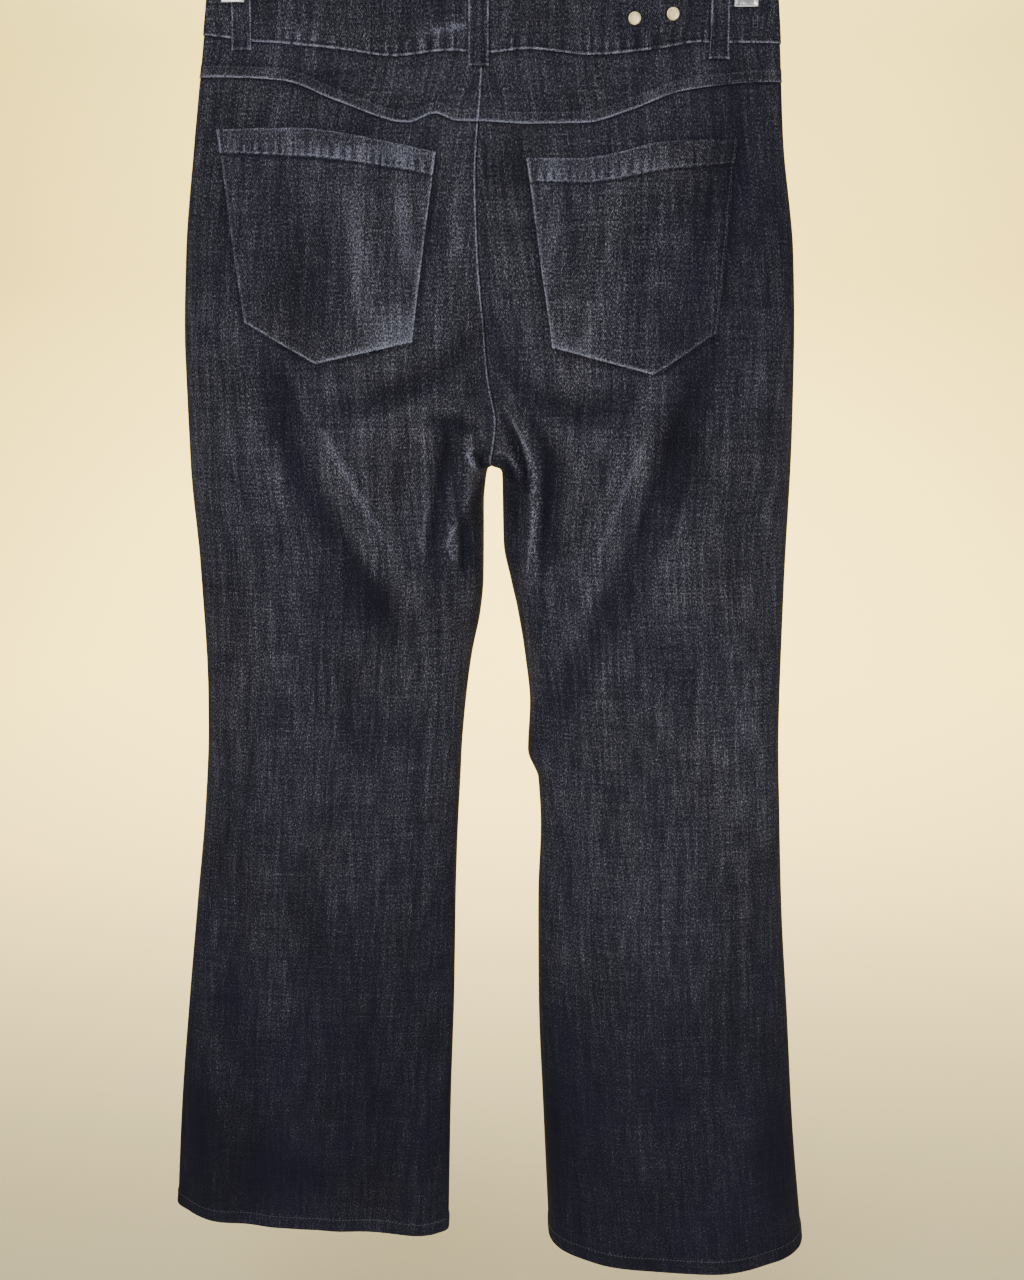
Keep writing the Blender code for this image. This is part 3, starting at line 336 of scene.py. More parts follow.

# Thin lines on the creases at the crotch: pale ones on the crests, partly worn and partly painted
# highlight, and painted shade in the valleys beside them; painted shadow lines round the back
# pockets. Here a fold's height is how much lighter (above 0) or darker (below 0) its line is.
CREST_AND_SHADE_LINES: dict[Face, list[Fold]] = {
    Face.BACK: table(
        Fold,
        (8, -424, 27, -453, 39, -484, 1.1, 0.55), (36, -462, 39.5, -505, 32, -570, 1.1, 0.42),
        (9, -471, 19, -473, 34, -495, 1.1, 0.7), (-7, -465, -12, -473, -4, -484, 1.2, 0.7),
        (0, -484, -16, -512, -28, -544, 1.8, 0.3), (-23, -526, -29.5, -543, -20, -557, 1.3, 0.6),
        (-41, -500, -46.5, -545, -38, -584, 1.5, 0.45), (23, -427, 32, -436, 42, -441, 2.2, 0.25),
        (-150, -398, -112, -470, -70, -548, 2.8, 0.2), (150, -392, 118, -470, 84, -560, 2.8, 0.18),
        (22, -430, 46, -468, 45, -550, 5.5, -1.1), (12, -476, 20, -485, 29, -497, 3, -0.6),
        (-7, -469, -4, -476, 0, -484, 2, -1), (-3, -490, -12, -520, -20, -543, 5, -0.45),
        (-164, -418, -140, -492, -78, -594, 8, -0.3), (-29, -446, -35, -500, -44, -562, 6, -0.5),
        (-38, -450, -25, -444, -10, -449, 3, -0.4),
        (-203.6, -231, -193, -301, -182.2, -373, 1.6, -0.6),
        (-181, -374, -153.5, -389.7, -126, -405, 1.6, -0.8),
        (-126, -405, -89, -396.7, -52, -388.4, 1.6, -0.8),
        (-50.6, -387, -41.8, -318, -33.4, -249, 1.6, -0.7),
        (30.1, -254, 40.4, -322, 50.6, -391, 1.6, -0.7),
        (52, -392.4, 90, -402.6, 128, -412.9, 1.6, -0.8),
        (128, -413, 151.6, -397.3, 176.2, -381.6, 1.6, -0.8),
        (189.4, -241, 182.9, -310, 176.4, -380, 1.6, -0.6),
    ),
    Face.FRONT: table(
        Fold,
        (-62, -424, -42, -452, -22, -474, 2.2, 0.3), (60, -420, 44, -450, 26, -472, 2.2, 0.3),
        (-40, -440, -28, -462, -14, -478, 3, -0.4), (42, -444, 30, -464, 18, -478, 3, -0.4),
    ),
}


def patched(face: Face, x: Array, z: Array) -> Array:
    """How much painted light and shade these places get on top of their creases, partly as worn
    cloth.

    Args:
        face: The back or the front.
        x: Places across.
        z: Heights.

    Returns:
        The added painted light and shade at each place.
    """
    total = np.zeros(np.shape(x))
    for patch in LIGHT_AND_SHADE_PATCHES[face]:
        away = ((x - patch.x * MM) / (patch.reach_x * MM)) ** 2
        away = away + ((z - patch.z * MM) / (patch.reach_z * MM)) ** 2
        total += patch.tone * np.exp(-away)
    return total


def curve_through(rows: Sequence[Any], column: str, at: Array, key: str = "z") -> Array:
    """A smooth curve with no overshoot through one column of a table.

    Args:
        rows: The table's rows, in millimetres.
        column: The column whose values the curve runs through.
        at: Places along the key column, in metres.
        key: The column of places.

    Returns:
        The curve's value at each place, in metres.
    """
    place = np.array([getattr(row, key) for row in rows], float)
    value = np.array([getattr(row, column) for row in rows], float)
    order = np.argsort(place)
    place, value = place[order] * MM, value[order]
    width = np.diff(place)
    slope = np.diff(value) / width
    turn = slope[:-1] * slope[1:] > 0
    total = np.where(turn, slope[:-1] + slope[1:], 1.0)
    tangent = np.concatenate(
        [slope[:1], np.where(turn, 2 * slope[:-1] * slope[1:] / total, 0.0), slope[-1:]]
    )
    at = np.clip(at, place[0], place[-1])
    i = np.clip(np.searchsorted(place, at) - 1, 0, len(width) - 1)
    t = (at - place[i]) / width[i]
    start = value[i] * (1 + 2 * t) * (1 - t) ** 2 + tangent[i] * width[i] * t * (1 - t) ** 2
    end = value[i + 1] * t * t * (3 - 2 * t) + tangent[i + 1] * width[i] * t * t * (t - 1)
    return (start + end) * MM


def smooth(t: Array) -> Array:
    """0 to 1 with level ends."""
    t = np.clip(t, 0.0, 1.0)
    return t * t * (3 - 2 * t)


def share_across(across: Array) -> Array:
    """Share of the way from the side seam to the centre."""
    return (1 - np.cos(math.pi * across)) / 2


def line(distance: Array, width: float, inset: float = 0.0) -> Array:
    """1 on a line this far in from an edge, 0 away from it. Width and inset in millimetres."""
    return np.exp(-(((distance - inset * MM) / (width * MM)) ** 2))


@dataclass(frozen=True)
class JeansForm:
    """The outer surface of the hung jeans, from a column and a height to a point.

    `across` runs from 0 at the side seam to 1 at the centre seam or the inseam.
    """

    crotch_z: float = -483 * MM
    crotch_curve: float = 75 * MM
    edge_share: float = 0.06
    roundness: float = 0.8
    step: float = 1e-4
    seam_edge: float = 1e-3
    clip_left_x: float = -188 * MM
    clip_right_x: float = 192 * MM
    clip_half_grip: float = 2.4 * MM
    pinch_flat: float = 13 * MM
    pinch_fade: float = 24 * MM
    pinch_flat_z: float = -146 * MM
    pinch_fade_z: float = 45 * MM
    fold_steps: int = 10
    wide_fold: float = 20.0
    ripple: float = 0.45 * MM
    pucker: float = 0.42 * MM
    calm_reach: float = 26 * MM
    calm_steps: int = 9
    edge_power: int = 9
    seam_rounds: int = 8
    search_columns: int = 241

    def clip_x(self, side: Side) -> float:
        """The middle of the clip on this side."""
        return self.clip_left_x if side is Side.LEFT else self.clip_right_x

    def section_height(self, z: Array, share: Array) -> Array:
        """Height of a section as a share of its depth.

        Args:
            z: Heights.
            share: Places along the section, 0 at the side seam.

        Returns:
            The height at each place, from 0 to 1.
        """
        seam = np.where(z > self.crotch_z, curve_through(CROWN_ROWS, "place", z), 0.0)
        place = np.sqrt(seam**2 + (1 - seam**2) * (1 - share) ** 2)
        return np.maximum(4 * place * (1 - place), 0.0) ** (self.roundness / 2)

    def end_x(self, side: Side, face: Face, z: Array) -> Array:
        """The centre seam's x above the crotch, and the inseam's x below it.

        Args:
            side: The leg.
            face: The back or the front.
            z: Heights.

        Returns:
            The x at each height.
        """
        centre = curve_through(CENTRE_ROWS, face.word, z)
        inseam = curve_through(INSEAM_ROWS, side.word, z)
        return np.where(z > self.crotch_z, centre, inseam)

    def calm_end_x(self, side: Side, face: Face, z: Array) -> Array:
        """The same x smoothed over height, so that the crotch's turn stays close to the seam.

        Args:
            side: The leg.
            face: The back or the front.
            z: Heights.

        Returns:
            The smoothed x at each height.
        """
        z = np.asarray(z, float)
        levels = z[..., None] + np.linspace(-self.calm_reach, self.calm_reach, self.calm_steps)
        return self.end_x(side, face, levels).mean(axis=-1)

    def grip(self, side: Side, x: Array, z: Array) -> Array:
        """1 where a clip holds the band flat, 0 away from it.

        Args:
            side: The leg.
            x: Places across.
            z: Heights.

        Returns:
            The clip's hold at each place.
        """
        low = smooth(1 - (self.pinch_flat_z - z) / self.pinch_fade_z)
        near = smooth(1 - (np.abs(x - self.clip_x(side)) - self.pinch_flat) / self.pinch_fade)
        return low * near

    def plain(self, side: Side, face: Face, across: Array, z: Array) -> Array:
        """Points of the form without folds.

        Args:
            side: The leg.
            face: The back or the front.
            across: Columns, 0 at the side seam and 1 at the centre.
            z: Heights.

        Returns:
            The points, in metres.
        """
        out = side.value * curve_through(LEG_ROWS[side], "out", z)
        depth = curve_through(LEG_ROWS[side], face.word, z)
        share = share_across(across)
        end = self.end_x(side, face, z)
        calm = self.calm_end_x(side, face, z)
        x = out + (calm - out) * share + (end - calm) * share**self.edge_power
        y = depth * self.section_height(z, share)
        grip = self.grip(side, x, z)
        half = self.clip_half_grip
        y = np.where(y > half, y + (half - y) * grip, y)
        return np.stack([x, face.value * y, z + 0 * x], axis=-1)

    def fold_relief(self, folds: Sequence[Fold], x: Array, z: Array) -> Array:
        """How far a set of folds moves the cloth out.

        Args:
            folds: The folds.
            x: Places across.
            z: Heights.

        Returns:
            The relief at each place, in metres.
        """
        relief = np.zeros(np.shape(x))
        t = np.linspace(0.0, 1.0, self.fold_steps + 1)
        weights = np.stack([(1 - t) * (1 - 2 * t), 4 * t * (1 - t), t * (2 * t - 1)], axis=-1)
        for fold in folds:
            ends = np.array([[fold.x0, fold.z0], [fold.x1, fold.z1], [fold.x2, fold.z2]]) * MM
            path = weights @ ends
            reach = 3.2 * fold.width * MM
            low, high = path.min(axis=0) - reach, path.max(axis=0) + reach
            near = (x > low[0]) & (x < high[0]) & (z > low[1]) & (z < high[1])
            if not near.any():
                continue
            place = np.stack([x[near], z[near]], axis=-1)[..., None, :] - path[:-1]
            run = np.diff(path, axis=0)
            along = np.clip((place * run).sum(-1) / (run * run).sum(-1), 0.0, 1.0)
            away = np.linalg.norm(place - along[..., None] * run, axis=-1)
            nearest = away.argmin(axis=-1)[..., None]
            distance = np.take_along_axis(away, nearest, -1)[..., 0] / (fold.width * MM)
            part = (nearest + np.take_along_axis(along, nearest, -1))[..., 0] / self.fold_steps
            strength = np.clip(np.sin(math.pi * np.clip(part, 0.0, 1.0)), 0.0, 1.0)
            strength = strength ** (1.1 if fold.width > self.wide_fold else 0.5)
            relief[near] += fold.height * MM * strength * np.exp(-(distance**2))
        return relief

    def fine_relief(self, side: Side, face: Face, x: Array, z: Array) -> Array:
        """Fine creases, slow ripples and the puckers along the band's seam.

        Args:
            side: The leg.
            face: The back or the front.
            x: Places across.
            z: Heights.

        Returns:
            The relief at each place, in metres.
        """
        relief = self.fold_relief(FINE_FOLDS[face], x, z)
        slow = np.sin(TURN * (x / 0.083 + 0.4 * np.sin(z / 0.12) + 0.2 * side.value))
        tall = np.sin(TURN * (z / 0.21 + 0.3 * np.sin(x / 0.045) + 0.1 * face.value))
        calm = smooth((-0.19 - z) / 0.05)
        relief += self.ripple * slow * tall * calm
        seam = curve_through(BAND_SEAM[face], "z", x, key="x")
        above = z - seam
        wave = np.sin(TURN * (x / 0.0083 + 0.55 * np.sin(x / 0.013) + 0.4 * np.sin(x / 0.031)))
        uneven = 0.6 + 0.4 * np.sin(x / 0.017 + 1.3) * np.sin(x / 0.041)
        window = np.where(above > 0, line(above, 8, 4), line(above, 6, -3))
        relief += self.pucker * wave * uneven * window
        return relief * (1 - self.grip(side, x, z))

    def point(self, side: Side, face: Face, across: Array, z: Array) -> Array:
        """Points of the form with its folds. The seams stay where they are.

        Args:
            side: The leg.
            face: The back or the front.
            across: Columns, 0 at the side seam and 1 at the centre.
            z: Heights.

        Returns:
            The points, in metres.
        """
        base = self.plain(side, face, across, z)
        step = self.plain(side, face, np.minimum(across + self.step, 1.0), z)
        step = step - self.plain(side, face, np.maximum(across - self.step, 0.0), z)
        run = np.maximum(np.hypot(step[..., 0], step[..., 1]), 1e-12)
        normal_x = side.value * face.value * step[..., 1] / run
        normal_y = face.value * np.abs(step[..., 0]) / run
        share = share_across(across)
        inner = smooth((1 - share) / self.edge_share)
        open_seam = smooth((z - self.crotch_z) / self.crotch_curve)
        relief = self.fold_relief(MAIN_FOLDS[face], base[..., 0], z)
        relief += self.fine_relief(side, face, base[..., 0], z)
        relief = relief * smooth(share / self.edge_share) * np.maximum(inner, open_seam)
        base[..., 0] += relief * normal_x * inner
        base[..., 1] += relief * normal_y
        return base

    def normal(self, side: Side, face: Face, across: Array, z: Array) -> Array:
        """Unit normals of the form. At a seam they lie in the seam's own plane.

        Args:
            side: The leg.
            face: The back or the front.
            across: Columns, 0 at the side seam and 1 at the centre.
            z: Heights.

        Returns:
            One normal for each point.
        """
        edge = self.seam_edge
        inner = np.clip(across, edge, 1 - edge)
        turn = self.point(side, face, inner + self.step, z)
        turn = turn - self.point(side, face, inner - self.step, z)
        rise = self.point(side, face, inner, z + self.step)
        rise -= self.point(side, face, inner, z - self.step)
        normal = side.value * face.value * np.cross(turn, rise)
        at_end = across > 1 - edge
        normal[across < edge, 1] = 0.0
        normal[at_end & (z > self.crotch_z + self.step), 0] = 0.0
        normal[at_end & (z <= self.crotch_z + self.step), 1] = 0.0
        normal[at_end & (np.abs(z - self.crotch_z) <= self.step)] = (0.0, 0.0, -1.0)
        return normal / np.linalg.norm(normal, axis=-1, keepdims=True)

    def seated(self, side: Side, face: Face, across: Array, z: Array) -> Array:
        """Points of the form with half a seam's gap taken off at its side, centre and inseam.

        Args:
            side: The leg.
            face: The back or the front.
            across: Columns, 0 at the side seam and 1 at the centre.
            z: Heights.

        Returns:
            The points, in metres.
        """
        points = self.point(side, face, across, z)
        at_end = across > 1 - self.seam_edge
        points[across < self.seam_edge, 1] = face.value * HALF_GAP
        points[at_end & (z >= self.crotch_z - self.step), 0] += side.value * HALF_GAP
        points[at_end & (z <= self.crotch_z + self.step), 1] = face.value * HALF_GAP
        return points

    def laid(self, side: Side, face: Face, across: Array, z: Array) -> tuple[Array, Array]:
        """Seated points of the form and its normals there."""
        return self.seated(side, face, across, z), self.normal(side, face, across, z)

    def seam_height(self, side: Side, face: Face, across: Array, rows: Sequence[SeamRow]) -> Array:
        """Height of a seam at each column. The seam is given over x, so it is found in steps.

        Args:
            side: The leg.
            face: The back or the front.
            across: Columns, 0 at the side seam and 1 at the centre.
            rows: The seam's places.

        Returns:
            The seam's height at each column.
        """
        z = curve_through(rows, "z", side.value * 0.1 + 0 * across, key="x")
        for _ in range(self.seam_rounds):
            z = curve_through(rows, "z", self.plain(side, face, across, z)[..., 0], key="x")
        return z

    def across_at(self, side: Side, face: Face, x: Array, z: Array) -> Array:
        """The columns at which a panel crosses each x at each height.

        Args:
            side: The leg.
            face: The back or the front.
            x: Places across.
            z: Heights.

        Returns:
            The column of each place.
        """
        columns = np.linspace(0.0, 1.0, self.search_columns)
        flat_x, flat_z = np.ravel(x), np.ravel(z)
        places = self.plain(side, face, columns[None, :], flat_z[:, None])[..., 0]
        places = places * side.value
        found = [
            np.interp(side.value * at, row[::-1], columns[::-1])
            for at, row in zip(flat_x, places)
        ]
        return np.reshape(found, np.shape(x))


FORM = JeansForm()


# ---------------------------------------------------------------- shells

# The inner skin's weave is moved by this much, and its cloth is this much less worn.
INSIDE_SHIFT = (0.37, 0.61)
INSIDE_WEAR = -0.15


def grid_faces(rows: int, columns: int, start: int, flip: bool) -> Array:
    """Quads between the points of a grid.

    Args:
        rows: The grid's rows.
        columns: The grid's columns.
        start: The index of its first point.
        flip: Whether the quads turn the other way.

    Returns:
        One row of four indices for each quad.
    """
    index = start + np.arange(rows * columns).reshape(rows, columns)
    corners = [index[:-1, :-1], index[:-1, 1:], index[1:, 1:], index[1:, :-1]]
    quads = np.stack([corner.ravel() for corner in corners], axis=-1)
    return quads[:, ::-1] if flip else quads


def rim_faces(rows: int, columns: int, back: int, flip: bool) -> Array:
    """Quads that join the edges of two grids of the same size.

    Args:
        rows: The grids' rows.
        columns: The grids' columns.
        back: The index of the second grid's first point.
        flip: Whether the quads turn the other way.

    Returns:
        One row of four indices for each quad.
    """
    index = np.arange(rows * columns).reshape(rows, columns)
    loop = np.concatenate([index[0, :-1], index[:-1, -1], index[-1, :0:-1], index[:0:-1, 0]])
    following = np.roll(loop, -1)
    quads = np.stack([following, loop, loop + back, following + back], axis=-1)
    return quads[:, ::-1] if flip else quads


def put_in_scene(name: str, mesh: Mesh, material: Material) -> Piece:
    """An object at the origin with this mesh and material, riding on the root.

    Args:
        name: The piece's name.
        mesh: Its mesh.
        material: Its finish.

    Returns:
        The piece.
    """
    mesh.name = name
    mesh.materials.clear()
    mesh.materials.append(material)
    piece = bpy.data.objects.new(name, mesh)
    bpy.context.scene.collection.objects.link(piece)
    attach(piece, ROOT)
    return piece


def shell(
    name: str, outer: Array, inner: Array, grain: Array, wear: Array, material: Material, flip: bool
) -> Piece:
    """A closed thin shell between two grids of points.

    Args:
        name: The piece's name.
        outer: Points of the outer skin, rows by columns.
        inner: Points of the inner skin.
        grain: Places along the weft and the warp, in metres.
        wear: How worn the cloth is, with painted light and shade added, from -1, fresh and dark, to
            1, worn pale.
        material: The finish.
        flip: Whether the grid turns left-handed seen from outside.

    Returns:
        The piece.
    """
    rows, columns = wear.shape
    count = rows * columns
    points = np.concatenate([outer.reshape(-1, 3), inner.reshape(-1, 3)])
    quads = np.concatenate(
        [
            grid_faces(rows, columns, 0, flip),
            grid_faces(rows, columns, count, not flip),
            rim_faces(rows, columns, count, flip),
        ]
    )
    mesh = bpy.data.meshes.new(name)
    mesh.from_pydata(points.tolist(), [], quads.tolist())
    mesh.validate()
    layer = mesh.uv_layers.new(name="cloth")
    corner_points = np.zeros(len(mesh.loops), np.int32)
    mesh.loops.foreach_get("vertex_index", corner_points)
    flat = np.concatenate([grain.reshape(-1, 2), grain.reshape(-1, 2) + INSIDE_SHIFT])
    layer.data.foreach_set("uv", flat[corner_points].astype(np.float32).ravel())
    attribute = mesh.attributes.new("wear", "FLOAT", "POINT")
    inside = np.full(count, INSIDE_WEAR)
    attribute.data.foreach_set("value", np.concatenate([wear.ravel(), inside]).astype(np.float32))
    mesh.shade_smooth()
    mesh.update()
    return put_in_scene(name, mesh, material)


@dataclass
class Cloth:
    """A grid of points on the form with what the cloth needs at each of them."""

    points: Array
    normals: Array
    grain: Array
    wear: Array
    lift: Lift = 0.0
    thickness: Lift = 1.1 * MM

    def piece(self, name: str, material: Material, flip: bool) -> Piece:
        """The shell between the cloth's outer and inner skins.

        Args:
            name: The piece's name.
            material: Its finish.
            flip: Whether the grid turns left-handed seen from outside.

        Returns:
            The piece.
        """
        outer = self.points + self.normals * np.broadcast_to(self.lift, self.wear.shape)[..., None]
        thick = np.broadcast_to(self.thickness, self.wear.shape)[..., None]
        inner = outer - self.normals * thick
        return shell(name, outer, inner, self.grain, self.wear, material, flip)


@dataclass(frozen=True)
class Cut:
    """A sheet's flat width and length in metres, and its area where it isn't full."""

    width: float
    length: float
    area: Optional[float] = None

    def declare(
        self, piece: Piece, node: str, slot: str, rests_on: list[str], sewn: Sequence[Piece] = ()
    ) -> Piece:
        """Hides the solid that a hung sheet stands for.

        Args:
            piece: The sheet.
            node: The solid that it stands for.
            slot: Its material slot. Not used.
            rests_on: What carries it. Not used.
            sewn: The pieces that are sewn to it.

        Returns:
            The sheet.
        """
        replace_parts(piece, node)
        more: dict[str, Any] = {} if self.area is None else {"area": self.area}
        if sewn:
            more["with_pieces"] = list(sewn)
        return piece


# ---------------------------------------------------------------- finishes


class Value:
    """A shader socket that can stand in a Python expression."""

    def __init__(self, shading: "Shading", socket: bpy.types.NodeSocket) -> None:
        """Keeps the socket and the shading that it belongs to."""
        self.shading = shading
        self.socket = socket

    def math(self, operation: str, *others: Union["Value", float]) -> "Value":
        """A Math node on this value and others."""
        inputs = dict(enumerate((self, *others)))
        return self.shading.node("ShaderNodeMath", {"operation": operation}, inputs)

    def __add__(self, other: Union["Value", float]) -> "Value":
        """The sum."""
        return self.math("ADD", other)

    def __radd__(self, other: float) -> "Value":
        """The sum, with the number first."""
        return self.math("ADD", other)

    def __sub__(self, other: Union["Value", float]) -> "Value":
        """The difference."""
        return self.math("SUBTRACT", other)

    def __rsub__(self, other: float) -> "Value":
        """The difference, with the number first."""
        return self.shading.node("ShaderNodeMath", {"operation": "SUBTRACT"}, {0: other, 1: self})

    def __mul__(self, other: Union["Value", float]) -> "Value":
        """The product."""
        return self.math("MULTIPLY", other)

    def __rmul__(self, other: float) -> "Value":
        """The product, with the number first."""
        return self.math("MULTIPLY", other)

    def __truediv__(self, other: Union["Value", float]) -> "Value":
        """The quotient."""
        return self.math("DIVIDE", other)

    def __pow__(self, other: Union["Value", float]) -> "Value":
        """The power."""
        return self.math("POWER", other)


class Shading:
    """A material and the nodes that make its finish."""

    def __init__(self, name: str) -> None:
        """A new material with only its shader and output.

        Args:
            name: The material's name.
        """
        self.material = bpy.data.materials.new(name)
        self.material.use_nodes = True
        self.tree = self.material.node_tree
        self.shader = self.tree.nodes["Principled BSDF"]

    def node(
        self,
        kind: str,
        settings: Optional[dict[str, Any]] = None,
        inputs: Optional[dict[Union[str, int], Any]] = None,
        output: Union[str, int] = 0,
    ) -> Value:
        """Any node, with its settings made first and its sockets after.

        Args:
            kind: The node's type.
            settings: Values of its own properties. "stops" are a ramp's places and colours.
            inputs: Values or links of its sockets, by name or place.
            output: The socket that is returned.

        Returns:
            The node's output.
        """
        node = self.tree.nodes.new(kind)
        for name, value in (settings or {}).items():
            if name == "stops":
                ramp = node.color_ramp.elements
                while len(ramp) < len(value):
                    ramp.new(0.5)
                for element, (place, colour) in zip(ramp, value):
                    element.position = place
                    element.color = (*colour, 1.0)
            else:
                setattr(node, name, value)
        for name, value in (inputs or {}).items():
            if isinstance(value, Value):
                self.tree.links.new(value.socket, node.inputs[name])
            else:
                node.inputs[name].default_value = value
        return Value(self, node.outputs[output])

    def noise(self, vector: Value, detail: float, roughness: float) -> Value:
        """Noise from -0.5 to 0.5 at a place that is already scaled.

        Args:
            vector: The place.
            detail: How many finer layers there are.
            roughness: How strong the finer layers are.

        Returns:
            The noise.
        """
        settings = {"noise_dimensions": "2D"}
        inputs = {"Vector": vector, "Scale": 1.0, "Detail": detail, "Roughness": roughness}
        return self.node("ShaderNodeTexNoise", settings, inputs) - 0.5

    def stretched(self, vector: Value, across: float, along: float, shift: float) -> Value:
        """A place scaled by its own number in each direction."""
        inputs = {"Vector": vector, "Scale": (across, along, 1.0), "Location": (shift, shift, 0.0)}
        return self.node("ShaderNodeMapping", None, inputs)

    def mixed(self, factor: Union[Value, float], first: Any, second: Any) -> Value:
        """One colour into another."""
        inputs = {0: factor, 6: first, 7: second}
        return self.node("ShaderNodeMix", {"data_type": "RGBA"}, inputs, 2)

    def feed(self, name: str, value: Any) -> None:
        """Gives the shader's socket a value or a link."""
        if isinstance(value, Value):
            self.tree.links.new(value.socket, self.shader.inputs[name])
        else:
            self.shader.inputs[name].default_value = value

    def bump(self, height: Value, strength: float, distance: float) -> None:
        """Feeds the shader's normal with a bump."""
        inputs = {"Height": height, "Strength": strength, "Distance": distance}
        self.feed("Normal", self.node("ShaderNodeBump", None, inputs))


@dataclass(frozen=True)
class DenimFinish:
    """Dark indigo stretch twill: a navy warp with pale flecks of weft, streaks, worn edges and
    painted light and shade.

    Each row of `noises` is a scale across and along the warp, a shift, a detail and a roughness:
    speckle, grain, streak, slub, weft, mottle and dye.
    """

    name: str = "denim"
    slot: str = "denim"
    navy: Triple = (0.0070, 0.0070, 0.0146)
    black: Triple = (0.0057, 0.0056, 0.0085)
    fleck: Triple = (0.207, 0.209, 0.254)
    worn_edge: Triple = (0.20, 0.215, 0.285)
    roughness: float = 0.9
    specular: float = 0.03
    twill_pitch: float = 1.3 * MM
    speckle: float = 7.2
    grain: float = 2.6
    streak: float = 2.3
    slub: float = 1.6
    weft: float = 1.3
    mottle: float = 0.9
    twill: float = 0.45
    wear: float = 1.35
    fleck_share: float = 0.079
    edge_start: float = 0.32
    twill_turn: tuple[float, float] = (0.87, 0.5)
    noises: tuple[tuple[float, ...], ...] = (
        (860, 580, 0, 2, 0.6),
        (1500, 1000, 3, 1, 0.5),
        (330, 30, 5, 2, 0.6),
        (110, 8, 7, 3, 0.6),
        (18, 360, 11, 2, 0.6),
        (30, 18, 17, 3, 0.55),
        (13, 9, 23, 2, 0.5),
    )
    edge_speckle: float = 5.5
    edge_grain: float = 5.0

    def build(self) -> Material:
        """Builds the finish's nodes.

        Returns:
            The material.
        """
        shading = Shading(self.name)
        place = shading.node("ShaderNodeUVMap", {"uv_map": "cloth"})
        # worn reads the wear attribute: worn cloth together with painted light and shade.
        worn = shading.node("ShaderNodeAttribute", {"attribute_name": "wear"}, None, "Fac")
        u = shading.node("ShaderNodeSeparateXYZ", None, {0: place}, 0)
        v = shading.node("ShaderNodeSeparateXYZ", None, {0: place}, 1)
        speckle, grain, streak, slub, weft, mottle, dye = (
            shading.noise(shading.stretched(place, *row[:3]), *row[3:]) for row in self.noises
        )
        turn_u, turn_v = self.twill_turn
        phase = (u * turn_u - v * turn_v) * (TURN / self.twill_pitch) + grain * 3.0
        twill = phase.math("SINE")
        tone = speckle * self.speckle + grain * self.grain + streak * self.streak
        tone += slub * self.slub + weft * self.weft + mottle * self.mottle
        tone += twill * self.twill + worn * self.wear
        flecks = (tone.math("EXPONENT") * self.fleck_share).math("MINIMUM", 0.8)
        hue = (dye * 2.2 + 0.70).math("MAXIMUM", 0.0).math("MINIMUM", 1.0)
        ground = shading.mixed(hue, (*self.black, 1.0), (*self.navy, 1.0))
        cloth = shading.mixed(flecks, ground, (*self.fleck, 1.0))
        # Pale bluish worn edges; the same colour paints the highlight lines on crease crests.
        broken = 1.0 + speckle * self.edge_speckle + grain * self.edge_grain
        edge = (worn - self.edge_start).math("MAXIMUM", 0.0) * broken
        edge = edge.math("MAXIMUM", 0.0).math("MINIMUM", 0.85)
        shading.feed("Base Color", shading.mixed(edge, cloth, (*self.worn_edge, 1.0)))
        shading.feed("Roughness", self.roughness)
        shading.feed("Specular IOR Level", self.specular)
        shading.feed("Sheen Weight", 0.01)
        shading.feed("Sheen Roughness", 0.5)
        shading.feed("Sheen Tint", (0.7, 0.78, 1.0, 1.0))
        height = twill * 0.35 + grain * 1.2 + speckle * 1.6 + streak * 0.5 + slub * 0.5
        shading.bump(height, 0.5, 0.35 * MM)
        return shading.material


@dataclass(frozen=True)
class ThreadFinish:
    """Sewing thread in the cloth's own tone."""

    name: str = "thread"
    slot: str = "denim"
    colour: Triple = (0.035, 0.037, 0.05)
    light: Triple = (0.075, 0.08, 0.10)

    def build(self) -> Material:
        """Builds the finish's nodes.

        Returns:
            The material.
        """
        shading = Shading(self.name)
        place = shading.node("ShaderNodeTexCoord", None, None, "Object")
        ply = shading.node(
            "ShaderNodeTexNoise", None, {"Vector": place, "Scale": 900.0, "Detail": 1.0}
        )
        shading.feed("Base Color", shading.mixed(ply, (*self.colour, 1.0), (*self.light, 1.0)))
        shading.feed("Roughness", 0.6)
        shading.bump(ply, 0.4, 0.2 * MM)
        return shading.material


@dataclass(frozen=True)
class MetalFinish:
    """A plain metal with a fine uneven polish."""

    name: str
    slot: str
    colour: Triple
    stain: Triple
    roughness: float
    metallic: float = 1.0
    grain: float = 400.0

    def build(self) -> Material:
        """Builds the finish's nodes.

        Returns:
            The material.
        """
        shading = Shading(self.name)
        place = shading.node("ShaderNodeTexCoord", None, None, "Object")
        fine = shading.node(
            "ShaderNodeTexNoise", None, {"Vector": place, "Scale": self.grain, "Detail": 3.0}
        )
        wide = shading.node(
            "ShaderNodeTexNoise", None, {"Vector": place, "Scale": self.grain / 9, "Detail": 2.0}
        )
        tint = wide * 0.55 + fine * 0.25
        colour = shading.mixed(tint, (*self.colour, 1.0), (*self.stain, 1.0))
        shading.feed("Base Color", colour)
        shading.feed("Roughness", fine * 0.16 + (self.roughness - 0.08))
        shading.feed("Metallic", self.metallic)
        shading.bump(fine, 0.12, 0.1 * MM)
        return shading.material


